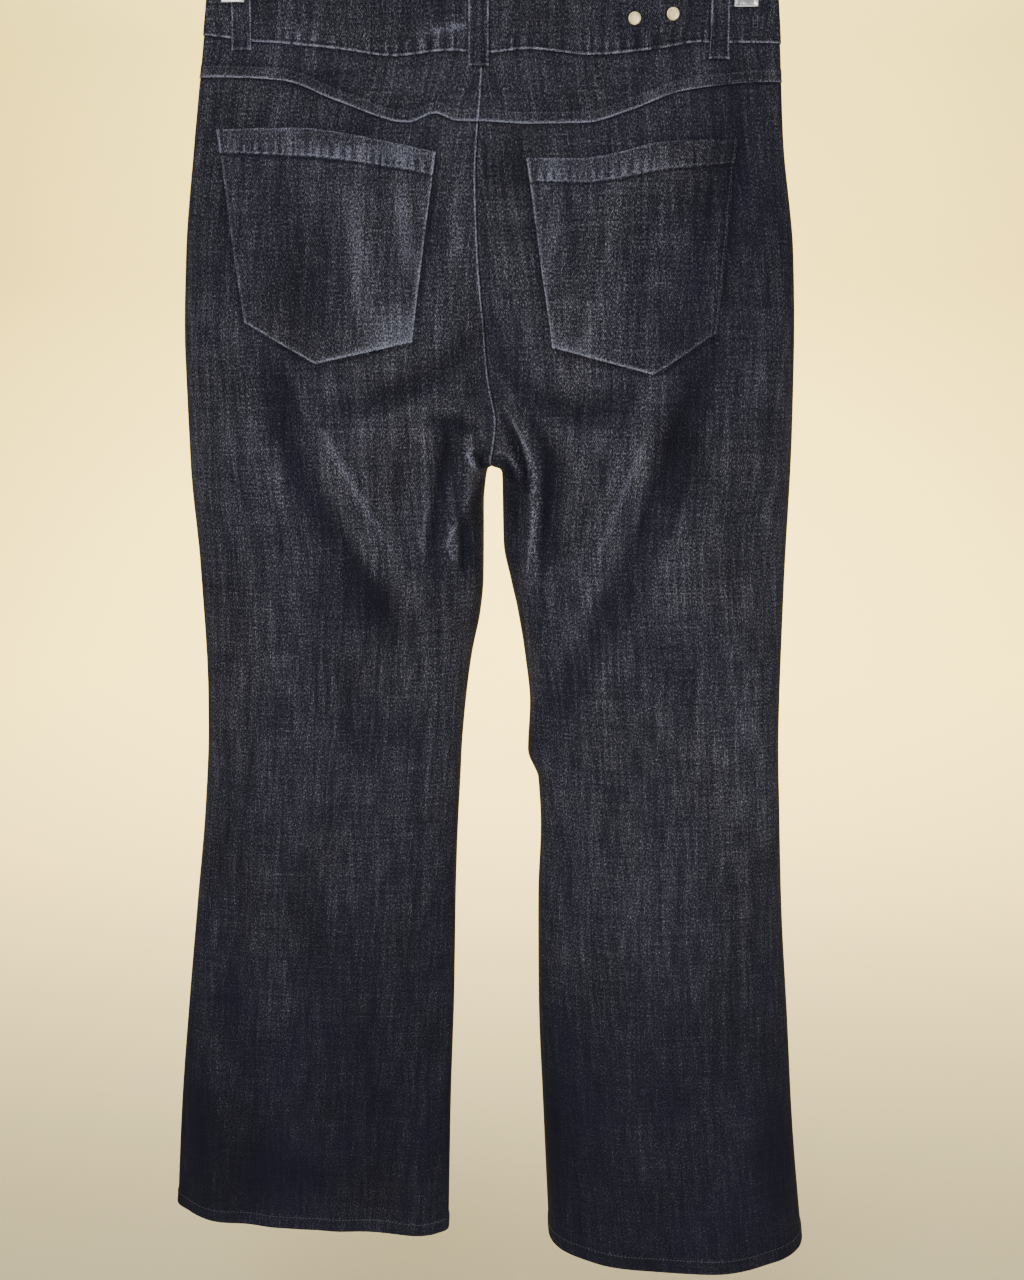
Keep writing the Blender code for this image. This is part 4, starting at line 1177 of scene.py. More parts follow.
DENIM = DenimFinish()
TAPE = DenimFinish(
    name="zip_tape",
    slot="denim_inner",
    navy=(0.010, 0.010, 0.014),
    fleck=(0.05, 0.05, 0.06),
    speckle=1.2,
    slub=0.3,
    twill=0.8,
    twill_pitch=0.9 * MM,
)
THREAD = ThreadFinish()
RIVET_METAL = MetalFinish(
    "rivet_metal", "rivet_metal", (1.0, 0.83, 0.45), (0.9, 0.71, 0.36), 0.38, 0.85, 1500.0
)
STEEL = MetalFinish("hanger_steel", "hanger_steel", (0.66, 0.67, 0.68), (0.5, 0.5, 0.5), 0.2)


@dataclass
class Wardrobe:
    """The finishes, built once and shared by all pieces."""

    denim: Material
    tape: Material
    thread: Material
    rivet: Material
    steel: Material

    @classmethod
    def build(cls) -> "Wardrobe":
        """All finishes."""
        return cls(DENIM.build(), TAPE.build(), THREAD.build(), RIVET_METAL.build(), STEEL.build())


# ---------------------------------------------------------------- sewing


class SewingTree:
    """Geometry Nodes that set stitches along a path of points."""

    length_range: tuple[float, float] = (0.86, 1.08)

    def __init__(self) -> None:
        """Builds the tree."""
        tree = bpy.data.node_groups.new("stitches_along_path", "GeometryNodeTree")
        self.tree = tree
        sockets = tree.interface
        sockets.new_socket("Geometry", in_out="INPUT", socket_type="NodeSocketGeometry")
        for name, value in (("Pitch", 3.0 * MM), ("Length", 2.3 * MM), ("Thread", 0.42 * MM)):
            socket = sockets.new_socket(name, in_out="INPUT", socket_type="NodeSocketFloat")
            socket.default_value = value
        sockets.new_socket("Seed", in_out="INPUT", socket_type="NodeSocketInt")
        sockets.new_socket("Material", in_out="INPUT", socket_type="NodeSocketMaterial")
        sockets.new_socket("Geometry", in_out="OUTPUT", socket_type="NodeSocketGeometry")
        given = tree.nodes.new("NodeGroupInput").outputs
        path = self.add("GeometryNodeMeshToCurve", {0: given["Geometry"]})
        inputs = {"Curve": path[0], "Length": given["Pitch"]}
        even = self.add("GeometryNodeResampleCurve", inputs, mode="LENGTH")
        up = self.add("GeometryNodeInputNamedAttribute", {"Name": "up"}, data_type="FLOAT_VECTOR")
        tangent = self.add("GeometryNodeInputTangent", {})
        axes = {0: up[0], 1: tangent[0]}
        turn = self.add("FunctionNodeAxesToRotation", axes, primary_axis="Z", secondary_axis="X")
        stitch = self.add("GeometryNodeMeshUVSphere", {"Segments": 5, "Rings": 4, "Radius": 0.5})
        low, high = self.length_range
        inputs = {2: low, 3: high, "Seed": given["Seed"]}
        vary = self.add("FunctionNodeRandomValue", inputs, data_type="FLOAT")
        inputs = {0: given["Length"], 1: vary[1]}
        long = self.add("ShaderNodeMath", inputs, operation="MULTIPLY")
        inputs = {0: long[0], 1: given["Thread"], 2: given["Thread"]}
        size = self.add("ShaderNodeCombineXYZ", inputs)
        inputs = {"Points": even[0], "Instance": stitch[0], "Rotation": turn[0], "Scale": size[0]}
        placed = self.add("GeometryNodeInstanceOnPoints", inputs)
        real = self.add("GeometryNodeRealizeInstances", {0: placed[0]})
        inputs = {0: real[0], "Material": given["Material"]}
        dressed = self.add("GeometryNodeSetMaterial", inputs)
        tree.links.new(dressed[0], tree.nodes.new("NodeGroupOutput").inputs[0])

    def add(self, kind: str, inputs: dict[Union[str, int], Any], **settings: Any) -> Any:
        """A node with its settings, then its values and links.

        Args:
            kind: The node's type.
            inputs: Values or links of its sockets, by name or place.
            settings: Values of its own properties.

        Returns:
            The node's outputs.
        """
        node = self.tree.nodes.new(kind)
        for name, value in settings.items():
            setattr(node, name, value)
        for name, value in inputs.items():
            if isinstance(value, bpy.types.NodeSocket):
                self.tree.links.new(value, node.inputs[name])
            else:
                node.inputs[name].default_value = value
        return node.outputs


@dataclass(frozen=True)
class Stitching:
    """A line of stitches: its points on the cloth and the way out of it."""

    points: Array
    up: Array


@dataclass
class Sewing:
    """Makes the stitches of each sewn piece."""

    finishes: Wardrobe
    pitch: float = 3.0 * MM
    length: float = 2.2 * MM
    thread: float = 0.42 * MM
    tree: Optional[SewingTree] = None

    def sew(
        self, name: str, lines: Sequence[Stitching], pitch: float = 0.0, length: float = 0.0
    ) -> Piece:
        """One mesh of stitches along some lines.

        Args:
            name: The piece's name.
            lines: Where the stitches run.
            pitch: From one stitch to the next, or 0 for the usual pitch.
            length: Of one stitch, or 0 for the usual length.

        Returns:
            The piece.
        """
        if self.tree is None:
            self.tree = SewingTree()
        points = np.concatenate([each.points for each in lines])
        up = np.concatenate([each.up for each in lines])
        edges, start = [], 0
        for each in lines:
            count = len(each.points)
            edges += [(start + i, start + i + 1) for i in range(count - 1)]
            start += count
        path = bpy.data.meshes.new(name + "_path")
        path.from_pydata(points.tolist(), edges, [])
        attribute = path.attributes.new("up", "FLOAT_VECTOR", "POINT")
        attribute.data.foreach_set("vector", up.astype(np.float32).ravel())
        guide = bpy.data.objects.new(name + "_path", path)
        bpy.context.scene.collection.objects.link(guide)
        modifier = guide.modifiers.new("stitches", "NODES")
        modifier.node_group = self.tree.tree
        values = {
            "Pitch": pitch or self.pitch,
            "Length": length or self.length,
            "Thread": self.thread,
            "Seed": len(name),
            "Material": self.finishes.thread,
        }
        for item in self.tree.tree.interface.items_tree:
            if item.in_out == "INPUT" and item.name in values:
                modifier[item.identifier] = values[item.name]
        graph = bpy.context.evaluated_depsgraph_get()
        made = bpy.data.meshes.new_from_object(guide.evaluated_get(graph))
        bpy.data.objects.remove(guide)
        made.shade_smooth()
        piece = put_in_scene(name, made, self.finishes.thread)
        return piece


# ---------------------------------------------------------------- grids on the form


def even_steps(start: float, end: float, spacing: float) -> Array:
    """Evenly spaced places between two, without the two themselves."""
    count = max(int(round(abs(end - start) / spacing)), 2)
    return np.linspace(start, end, count + 1)[1:-1]


# How far the close points along a panel's edges and along its hem lie from the edge.
NEAR_EDGE = np.array([0.0, 0.7, 1.4, 2.3, 3.6, 5.4, 7.6, 9.6, 10.8, 12.6]) * MM
NEAR_HEM = np.array([16.6, 15.0, 14.3, 13.7, 12.8, 11.0, 9.0, 7.0, 5.0, 3.4, 2.0, 0.9, 0.0]) * MM


def eased(values: Array, z: Array, reach: float) -> Array:
    """Values of rows, each averaged with those of the rows within a reach of its height.

    Args:
        values: One value for each row.
        z: The rows' heights.
        reach: How far above and below a row the others count.

    Returns:
        The averaged values.
    """
    order = np.argsort(z)
    steps = np.linspace(-reach, reach, 15)
    return np.mean([np.interp(z + step, z[order], values[order]) for step in steps], axis=0)


@dataclass
class PanelGrid:
    """A grid over a panel between two seams, with close points along its edges."""

    side: Side
    face: Face
    levels: list[Array]
    crowding: float = 0.0
    ease_reach: float = 24 * MM

    @staticmethod
    def dense() -> Array:
        """Many columns, very close together at both seams.

        Returns:
            The columns, from 0 to 1.
        """
        close = np.geomspace(1e-5, 0.02, 70)
        middle = np.linspace(0.0225, 0.9775, 280)
        return np.concatenate([[0.0], close, middle, 1 - close[::-1], [1.0]])

    def spread(
        self, low: float = 0.0, high: float = 1.0, columns: int = 84
    ) -> tuple[Array, Array, Array, Array]:
        """Places the columns by the cloth's own length along each row.

        Args:
            low: The first column's place, 0 at the side seam.
            high: The last column's place, 1 at the centre.
            columns: How many lie between the close ones at the edges.

        Returns:
            Columns, heights, distance from the side seam's edge and from the centre's edge.
        """
        dense = self.dense()
        z = np.stack(self.levels)
        points = FORM.plain(self.side, self.face, dense[None, :], z)
        steps = np.linalg.norm(np.diff(points, axis=1), axis=-1)
        arc = np.concatenate([np.zeros((len(z), 1)), np.cumsum(steps, axis=1)], axis=1)
        steps = np.linspace(0.0, 1.0, columns + 2)[1:-1]
        steps += self.crowding * steps * (1 - steps)
        across = []
        for lengths in arc:
            start, end = np.interp([low, high], dense, lengths)
            run = end - start - 2 * NEAR_EDGE[-1]
            inner = start + NEAR_EDGE[-1] + run * steps
            want = np.concatenate([start + NEAR_EDGE, inner, end - NEAR_EDGE[::-1]])
            place = np.interp(want, lengths, dense)
            place[0], place[-1] = low, high
            across.append(place)
        across = np.array(across)
        height = z.mean(axis=1)
        near = smooth(1.4 - np.abs(height - FORM.crotch_z) / self.ease_reach)
        if near.any():
            for column in across[:, 1:-1].T:
                column += (eased(column, height, self.ease_reach) - column) * near
        heights, first, last = [], [], []
        for place, row, lengths in zip(across, z, arc):
            start, end = np.interp([low, high], dense, lengths)
            heights.append(np.interp(place, dense, row))
            along = np.interp(place, dense, lengths)
            first.append(along - start)
            last.append(end - along)
        return across, np.array(heights), np.array(first), np.array(last)


def unevenness(along: Array, seed: float) -> Array:
    """A slow uneven factor from 0.4 to 1 along a seam.

    Args:
        along: Lengths along the seam.
        seed: A number that sets one seam apart from another.

    Returns:
        The factor at each length.
    """
    wave = np.sin(along / 0.0071 + seed) * np.sin(along / 0.0193 + 2 * seed)
    wave = wave + 0.7 * np.sin(along / 0.0031 + 3 * seed)
    return 0.72 + 0.19 * wave


def grain_of(first: Array, z: Array, shift: float) -> Array:
    """Places along the weft and the warp, measured from the panel's middle line."""
    middle = eased(first[:, -1] / 2, z.mean(axis=1), 60 * MM)
    return np.stack([first - middle[:, None] + shift, z + shift], axis=-1)


@dataclass
class LegPanel:
    """A leg panel from its top seam to its folded hem."""

    side: Side
    face: Face
    finishes: Wardrobe
    hem_height: float = 14 * MM
    hem_lift: float = 0.7 * MM
    roping: float = 0.14 * MM
    seam_dip: float = 0.45 * MM
    inner_dip: float = 0.4 * MM
    top_dip: float = 0.2 * MM
    felled: float = 0.22 * MM
    felled_width: float = 9 * MM
    edge_dip: float = 0.35 * MM
    scoop_width: float = 100 * MM
    scoop_low_z: float = -247 * MM
    scoop_power: float = 3.0
    spacing: float = 3.1 * MM
    columns: int = 80
    back_detail: float = 1.2
    crowding: float = 0.5
    hem_dark: float = 1.0
    most_worn: float = 0.30
    cut: Cut = Cut(0.305, 1.02, 0.27)

    @property
    def detail(self) -> float:
        """How much closer the panel's points lie than they need to on the plain front."""
        return self.back_detail if self.face is Face.BACK else 1.0

    @property
    def node(self) -> str:
        """The solid that the panel stands for."""
        return f"{self.face.word}_leg_{self.side.word}"

    def top(self, across: Array) -> Array:
        """Height of the top seam at each column.

        Args:
            across: Columns, 0 at the side seam and 1 at the centre.

        Returns:
            The seam's height at each column.
        """
        if self.face is Face.BACK:
            return FORM.seam_height(self.side, Face.BACK, across, YOKE_SEAM) - HALF_GAP
        seam = FORM.seam_height(self.side, Face.FRONT, across, BAND_SEAM[Face.FRONT]) - HALF_GAP
        return self.scoop(across, seam)

    def scoop(self, across: Array, seam: Array) -> Array:
        """Height of the front pocket's mouth at each column, up to the band's seam.

        Args:
            across: Columns, 0 at the side seam and 1 at the centre.
            seam: The band's seam at each column.

        Returns:
            The panel's top at each column.
        """
        level = self.scoop_low_z + 0 * across
        place = FORM.plain(self.side, Face.FRONT, across, level)[..., 0]
        edge = FORM.plain(self.side, Face.FRONT, 0 * across, level)[..., 0]
        run = np.abs(place - edge) / self.scoop_width
        curved = self.scoop_low_z + (seam - self.scoop_low_z) * run**self.scoop_power
        return np.where(run < 1.0, curved, seam)

    def grid(self) -> PanelGrid:
        """The panel's rows, from its top seam over the crotch's level to the hem.

        Returns:
            The grid.
        """
        dense = PanelGrid.dense()
        top = self.top(dense)
        bottom = FORM.seam_height(self.side, self.face, dense, HEM[self.side])
        spacing = self.spacing / self.detail
        levels = [top - step for step in NEAR_EDGE]
        start, crotch = top - NEAR_EDGE[-1], FORM.crotch_z + 0 * top
        count = int(round((top.mean() - FORM.crotch_z) / spacing))
        parts = np.linspace(0, 1, count + 1)[1:]
        parts += self.crowding * parts * (1 - parts)
        levels += [start + (crotch - start) * t for t in parts]
        end = bottom + NEAR_HEM[0]
        count = int(round((FORM.crotch_z - end.mean()) / spacing))
        parts = np.linspace(0, 1, count + 1)[1:-1]
        parts -= self.crowding * parts * (1 - parts)
        levels += [crotch + (end - crotch) * t for t in parts]
        levels += [bottom + step for step in NEAR_HEM]
        return PanelGrid(self.side, self.face, levels, self.crowding)

    def build(self) -> Piece:
        """Returns:
            The panel as a finished piece.
        """
        columns = int(self.columns * self.detail)
        across, z, first, last = self.grid().spread(columns=columns)
        points, normals = FORM.laid(self.side, self.face, across, z)
        below = z[0] - z
        above_hem = z - z[-1]
        in_hem = smooth((self.hem_height + 0.5 * MM - above_hem) / (0.9 * MM))
        roping = np.sin(TURN * (points[..., 0] / 0.0092 + above_hem / 0.021))
        roping = roping * line(above_hem, 6, 6)
        lift = self.hem_lift * in_hem + self.roping * roping
        lift -= self.seam_dip * line(first, 0.7) + self.inner_dip * line(last, 0.7)
        lift -= self.top_dip * line(below, 1.2)
        lift += self.felled * smooth((self.felled_width - last) / (2 * MM)) * (z > FORM.crotch_z)
        lift = np.where(above_hem < 0.5 * MM, lift - self.edge_dip, lift)
        wear = self.wear(points, z, first, last, below, above_hem)
        shift = 0.1 * self.side.value + (1.3 if self.face is Face.FRONT else 0.0)
        cloth = Cloth(points, normals, grain_of(first, z, shift), wear, lift)
        flip = self.side.value * self.face.value > 0
        piece = cloth.piece("cloth_" + self.node, self.finishes.denim, flip)
        clips = ["clip_jaw_back_left", "clip_jaw_back_right"]
        return self.cut.declare(piece, self.node, DENIM.slot, clips)

    def wear(
        self, points: Array, z: Array, first: Array, last: Array, below: Array, above_hem: Array
    ) -> Array:
        """How worn the panel is at each point, with painted light and shade.

        Args:
            points: The panel's points.
            z: Their heights.
            first: Distance from the side seam.
            last: Distance from the centre seam or the inseam.
            below: Distance below the top seam.
            above_hem: Distance above the hem's edge.

        Returns:
            From -1, fresh and dark, to 1, worn pale.
        """
        x = points[..., 0]
        # Crests painted lighter, partly worn and partly painted highlight; troughs darker, as
        # painted shade.
        crest = FORM.fold_relief(MAIN_FOLDS[self.face], x, z)
        crest += 1.6 * FORM.fold_relief(FINE_FOLDS[self.face], x, z)
        depth = 9 * MM if self.face is Face.BACK else 18 * MM
        wear = np.clip(crest / depth, -0.5, 0.4) * (1 - 0.7 * smooth((-z - 0.6) / 0.15))
        # Patches of painted light and shade, capped at the lightest tone.
        wear = np.minimum(wear + patched(self.face, x, z), self.most_worn)
        # Crest lines: painted highlight and worn lines, painted shade in valleys, painted shadow
        # round pockets.
        wear += FORM.fold_relief(CREST_AND_SHADE_LINES[self.face], x, z) / MM
        # Painted shade: darker towards the hem, where the light falls off.
        wear -= self.hem_dark * smooth((-z - 0.66) / 0.50)
        seam = line(last, 0.75, 1.3) * (0.4 + 0.6 * unevenness(z, 1.0 + self.side.value))
        wear += seam * (1.35 if self.side is Side.LEFT else 0.25)
        # Painted shadow: thin darker lines along the centre seam and the inseam, and under the top
        # seam.
        wear -= 0.7 * line(last, 0.7)
        wear -= 0.8 * line(below, 1.8)
        hem_line = line(above_hem - self.hem_height, 0.9, -0.4)
        wear += 0.35 * hem_line * unevenness(x, 2.0)
        wear += 0.5 * line(above_hem, 1.4) * unevenness(x, 3.0)
        wear += 0.3 * line(first, 0.9, 1.2) * unevenness(z, 5.0)
        return wear


@dataclass
class Yoke:
    """One half of the curved back yoke, with its felled seam along the lower edge."""

    side: Side
    finishes: Wardrobe
    fell: float = 9.5 * MM
    cut: Cut = Cut(0.24, 0.06, 0.0105)

    def build(self) -> Piece:
        """Returns:
            The yoke as a finished piece.
        """
        dense = PanelGrid.dense()
        top = FORM.seam_height(self.side, Face.BACK, dense, BAND_SEAM[Face.BACK]) - HALF_GAP
        bottom = FORM.seam_height(self.side, Face.BACK, dense, YOKE_SEAM) + HALF_GAP
        parts = np.concatenate([[0, 0.02, 0.05], np.linspace(0.1, 0.72, 9)])
        low = np.array([11.0, 9.9, 9.2, 8.4, 6.6, 4.8, 3.2, 2.0, 1.3, 0.7, 0.3, 0.0]) * MM
        levels = [top + (bottom + low[0] - top) * part for part in parts / 0.8]
        levels += [bottom + step for step in low]
        across, z, first, last = PanelGrid(self.side, Face.BACK, levels).spread()
        points, normals = FORM.laid(self.side, Face.BACK, across, z)
        above = z - z[-1]
        below = z[0] - z
        on_fell = smooth((self.fell + 0.6 * MM - above) / (1.2 * MM))
        lift = 0.35 * MM * on_fell + 0.35 * MM * line(above, 0.9, 0.8)
        lift -= 0.2 * MM * line(below, 1.2)
        lift -= 0.4 * MM * (line(last, 0.7) + line(first, 0.7))
        lift = np.where(above < 0.2 * MM, lift - 0.3 * MM, lift)
        x = points[..., 0]
        fading = 1 - 0.45 * smooth((x - 100 * MM) / (60 * MM))
        seam = line(above, 0.75, 0.5) * fading
        wear = 0.22 * on_fell + 1.5 * seam * unevenness(x, 1.5)
        # Painted shade: darker lines along the fell's upper edge and under the band's seam; patches
        # of painted light and shade.
        wear = wear - 0.35 * line(above, 1.0, 9.4) + patched(Face.BACK, x, z)
        wear -= 0.6 * line(below, 1.8)
        edge = 0.9 if self.side is Side.LEFT else 0.2
        wear += edge * line(last, 0.75, 1.3)
        cloth = Cloth(points, normals, grain_of(first, z, 0.3), wear, lift)
        node = f"yoke_{self.side.word}"
        piece = cloth.piece("cloth_" + node, self.finishes.denim, self.side is Side.LEFT)
        return self.cut.declare(piece, node, DENIM.slot, [f"clip_jaw_back_{self.side.word}"])


@dataclass(frozen=True)
class PocketShape:
    """A back pocket's outline, its top from left to right and its foot, how worn it is, and its
    painted seam shade.
    """

    top: list[SeamRow]
    foot: list[SeamRow]
    inner_edge: float
    outer_edge: float
    body: float
    dark: float


# Rows of points round the lower edge of a pocket's band, and the gap kept clear of other rows.
BAND_EDGE = np.array([-3.0, -2.2, -1.5, -0.9, -0.4, 0.1, 0.6, 1.2, 2.0]) * MM
BAND_EDGE_CLEAR = 0.5 * MM
POCKETS: dict[Side, PocketShape] = {
    Side.LEFT: PocketShape(
        table(
            SeamRow,
            (-202, -230.6), (-134.8, -231.1), (-108, -234.4), (-82.6, -239.1), (-35, -249.2),
        ),
        table(SeamRow, (-180.6, -372.3), (-125.8, -403.2), (-52.3, -386.6)),
        inner_edge=1.25, outer_edge=0.7, body=0.24, dark=0.3,
    ),
    Side.RIGHT: PocketShape(
        table(
            SeamRow,
            (31.7, -254.2), (71.5, -254.4), (97.8, -250.6), (132, -242.6), (187.8, -240.7),
        ),
        table(SeamRow, (52.2, -390.6), (128.1, -410.9), (174.8, -379.7)),
        inner_edge=1.1, outer_edge=0.2, body=0.12, dark=0.6,
    ),
}


def on_form(side: Side, face: Face, x: Array, z: Array, lift: Lift = 0.0) -> tuple[Array, Array]:
    """Points over the form at these places, and the way out of the cloth there.

    Args:
        side: The leg.
        face: The back or the front.
        x: Places across.
        z: Heights.
        lift: How far the points stand off the form.

    Returns:
        Points and unit normals.
    """
    across = FORM.across_at(side, face, x, z)
    normal = FORM.normal(side, face, across, z)
    point = FORM.point(side, face, across, z)
    return point + normal * np.broadcast_to(lift, np.shape(x))[..., None], normal


def stitched(side: Side, face: Face, x: Array, z: Array, lift: Lift) -> Stitching:
    """A line of stitches over the form."""
    points, up = on_form(side, face, x, z, lift)
    return Stitching(points, up)


@dataclass
class BackPocket:
    """A five-sided patch pocket with a folded band along its top."""

    side: Side
    finishes: Wardrobe
    sewing: Sewing
    wall: float = 1.2 * MM
    band_rise: float = 0.6 * MM
    band_height: float = 17.5 * MM
    fold_width: float = 9 * MM
    spacing: float = 1.9 * MM
    seam_inset: float = 2.0 * MM
    cut: Cut = Cut(0.168, 0.174, 0.0232)

    def places(self) -> tuple[Array, ...]:
        """The pocket's points in x and z, and how far each is from its four edges.

        Returns:
            X, z, and the distances from the left, right, top and lower edges.
        """
        shape = POCKETS[self.side]
        left_top, right_top = shape.top[0], shape.top[-1]
        left_foot, tip, right_foot = shape.foot
        wide = (right_top.x - left_top.x + right_foot.x - left_foot.x) / 2 * MM
        tall = (left_top.z + right_top.z - left_foot.z - right_foot.z) / 2 * MM
        close = NEAR_EDGE[:7]
        u = np.concatenate(
            [close, even_steps(close[-1], wide - close[-1], self.spacing), wide - close[::-1]]
        )
        v = np.concatenate(
            [close, even_steps(close[-1], tall - close[-1], self.spacing), tall - close[::-1]]
        )
        edge = self.band_height + BAND_EDGE
        v = v[np.abs(v[:, None] - edge).min(axis=1) > BAND_EDGE_CLEAR]
        v = np.sort(np.concatenate([v, edge]))
        u, v = np.meshgrid(u / wide, v / tall)
        top_x = (left_top.x + (right_top.x - left_top.x) * u) * MM
        top_z = curve_through(shape.top, "z", top_x, key="x")
        foot_x = (left_foot.x + (right_foot.x - left_foot.x) * u) * MM
        tip_place = (tip.x - left_foot.x) / (right_foot.x - left_foot.x)
        foot_z = np.interp(u, [0, tip_place, 1], [left_foot.z, tip.z, right_foot.z]) * MM
        x = top_x + (foot_x - top_x) * v
        z = top_z + (foot_z - top_z) * v
        return x, z, u * wide, (1 - u) * wide, v * tall, (1 - v) * tall

    def build(self) -> Piece:
        """Returns:
            The pocket as a finished piece.
        """
        shape = POCKETS[self.side]
        x, z, left, right, below, above = self.places()
        inner_side = right if self.side is Side.LEFT else left
        outer_side = left if self.side is Side.LEFT else right
        near = np.minimum(np.minimum(left, right), above)
        rim = np.minimum(near, below)
        band = smooth((self.band_height + 0.5 * MM - below) / (1.0 * MM))
        uneven = unevenness(x, 4.0)
        pucker = np.sin(TURN * (x / 0.0064 + 0.5 * np.sin(x / 0.011))) * uneven
        rise = self.wall + self.band_rise * band
        rise += 0.22 * MM * smooth((self.fold_width - near) / (1.6 * MM)) * (1 - band)
        rise -= 0.14 * MM * line(near - self.seam_inset, 0.8)
        rise += 0.2 * MM * pucker * line(below - self.band_height, 3, -1.5)
        rise -= 0.6 * MM * (1 - smooth(rim / (0.9 * MM)))
        side_pucker = np.sin(TURN * (z / 0.0071 + 0.4 * np.sin(z / 0.017)))
        rise += 0.09 * MM * side_pucker * line(near, 3, 4) * (1 - band)
        outer, up = on_form(self.side, Face.BACK, x, z, GAP + rise)
        wear = shape.body + 0.22 * band
        wear += shape.inner_edge * line(inner_side, 0.8, 0.8) * unevenness(z, 1.0)
        wear += shape.outer_edge * line(outer_side, 0.9, 1.0) * unevenness(z, 2.0)
        # Painted shadow: a darker line round the pocket's rim, and painted shade along its outer
        # seam.
        wear -= 0.7 * line(rim, 0.45)
        wear -= shape.dark * line(outer_side, 1.0, 3.6)
        wear += 1.0 * line(above, 0.8, 1.0) * (0.5 + 0.5 * uneven)
        wear += 0.5 * line(below, 0.7, 0.7) * uneven
        dashes = 0.5 + 0.5 * np.sin(TURN * ((x + z) / 0.0034 + 0.6 * np.sin(x / 0.013)))
        wear += 0.35 * dashes * line(near, 0.9, 3.0) * (1 - band)
        # Painted light and shade on the puckers along the band's lower edge, and patches of painted
        # light and shade.
        edge = line(below - self.band_height, 4.5, -4.0)
        wear += edge * 0.45 * pucker + patched(Face.BACK, x, z)
        dashes = dashes * uneven
        wear += 0.9 * dashes * line(below - self.band_height, 0.9, -1.2)
        # Painted shadow under the band's lower edge.
        wear -= 0.9 * line(below - self.band_height, 0.9, 0.6)
        # Crests lighter, partly worn and partly painted highlight; troughs darker, as painted
        # shade.
        crest = FORM.fold_relief(MAIN_FOLDS[Face.BACK], x, z)
        crest += 2.2 * FORM.fold_relief(FINE_FOLDS[Face.BACK], x, z)
        wear += np.clip(crest / (8 * MM), -0.4, 0.35)
        grain = np.stack([x + 0.57 * self.side.value, z], axis=-1)
        node = f"back_pocket_{self.side.word}"
        cloth = Cloth(outer, up, grain, wear, 0.0, rise)
        piece = cloth.piece("cloth_" + node, self.finishes.denim, True)
        leg = [f"cloth_back_leg_{self.side.word}"]
        return self.cut.declare(piece, node, DENIM.slot, leg, [self.stitch()])

    def stitch(self) -> Piece:
        """Stitches inside the folded edges and along the band.

        Returns:
            The stitches as one piece.
        """
        x, z, left, right, below, above = self.places()
        lines = []
        lift = GAP + self.wall + 0.1 * MM
        inset = self.seam_inset
        for column in (int(np.argmax(left[0] > inset)), int(np.argmin(right[0] > inset)) - 1):
            keep = above[:, column] > inset
            rise = lift + self.band_rise * (below[keep, column] < self.band_height)
            lines.append(stitched(self.side, Face.BACK, x[keep, column], z[keep, column], rise))
        row = int(np.argmin(above[:, 0] > inset)) - 1
        keep = (left[row] > inset) & (right[row] > inset)
        lines.append(stitched(self.side, Face.BACK, x[row, keep], z[row, keep], lift))
        row = int(np.argmax(below[:, 0] > self.band_height - 1.9 * MM))
        keep = (left[row] > inset) & (right[row] > inset)
        rise = lift + self.band_rise
        lines.append(stitched(self.side, Face.BACK, x[row, keep], z[row, keep], rise))
        return self.sewing.sew(f"stitches_back_pocket_{self.side.word}", lines)


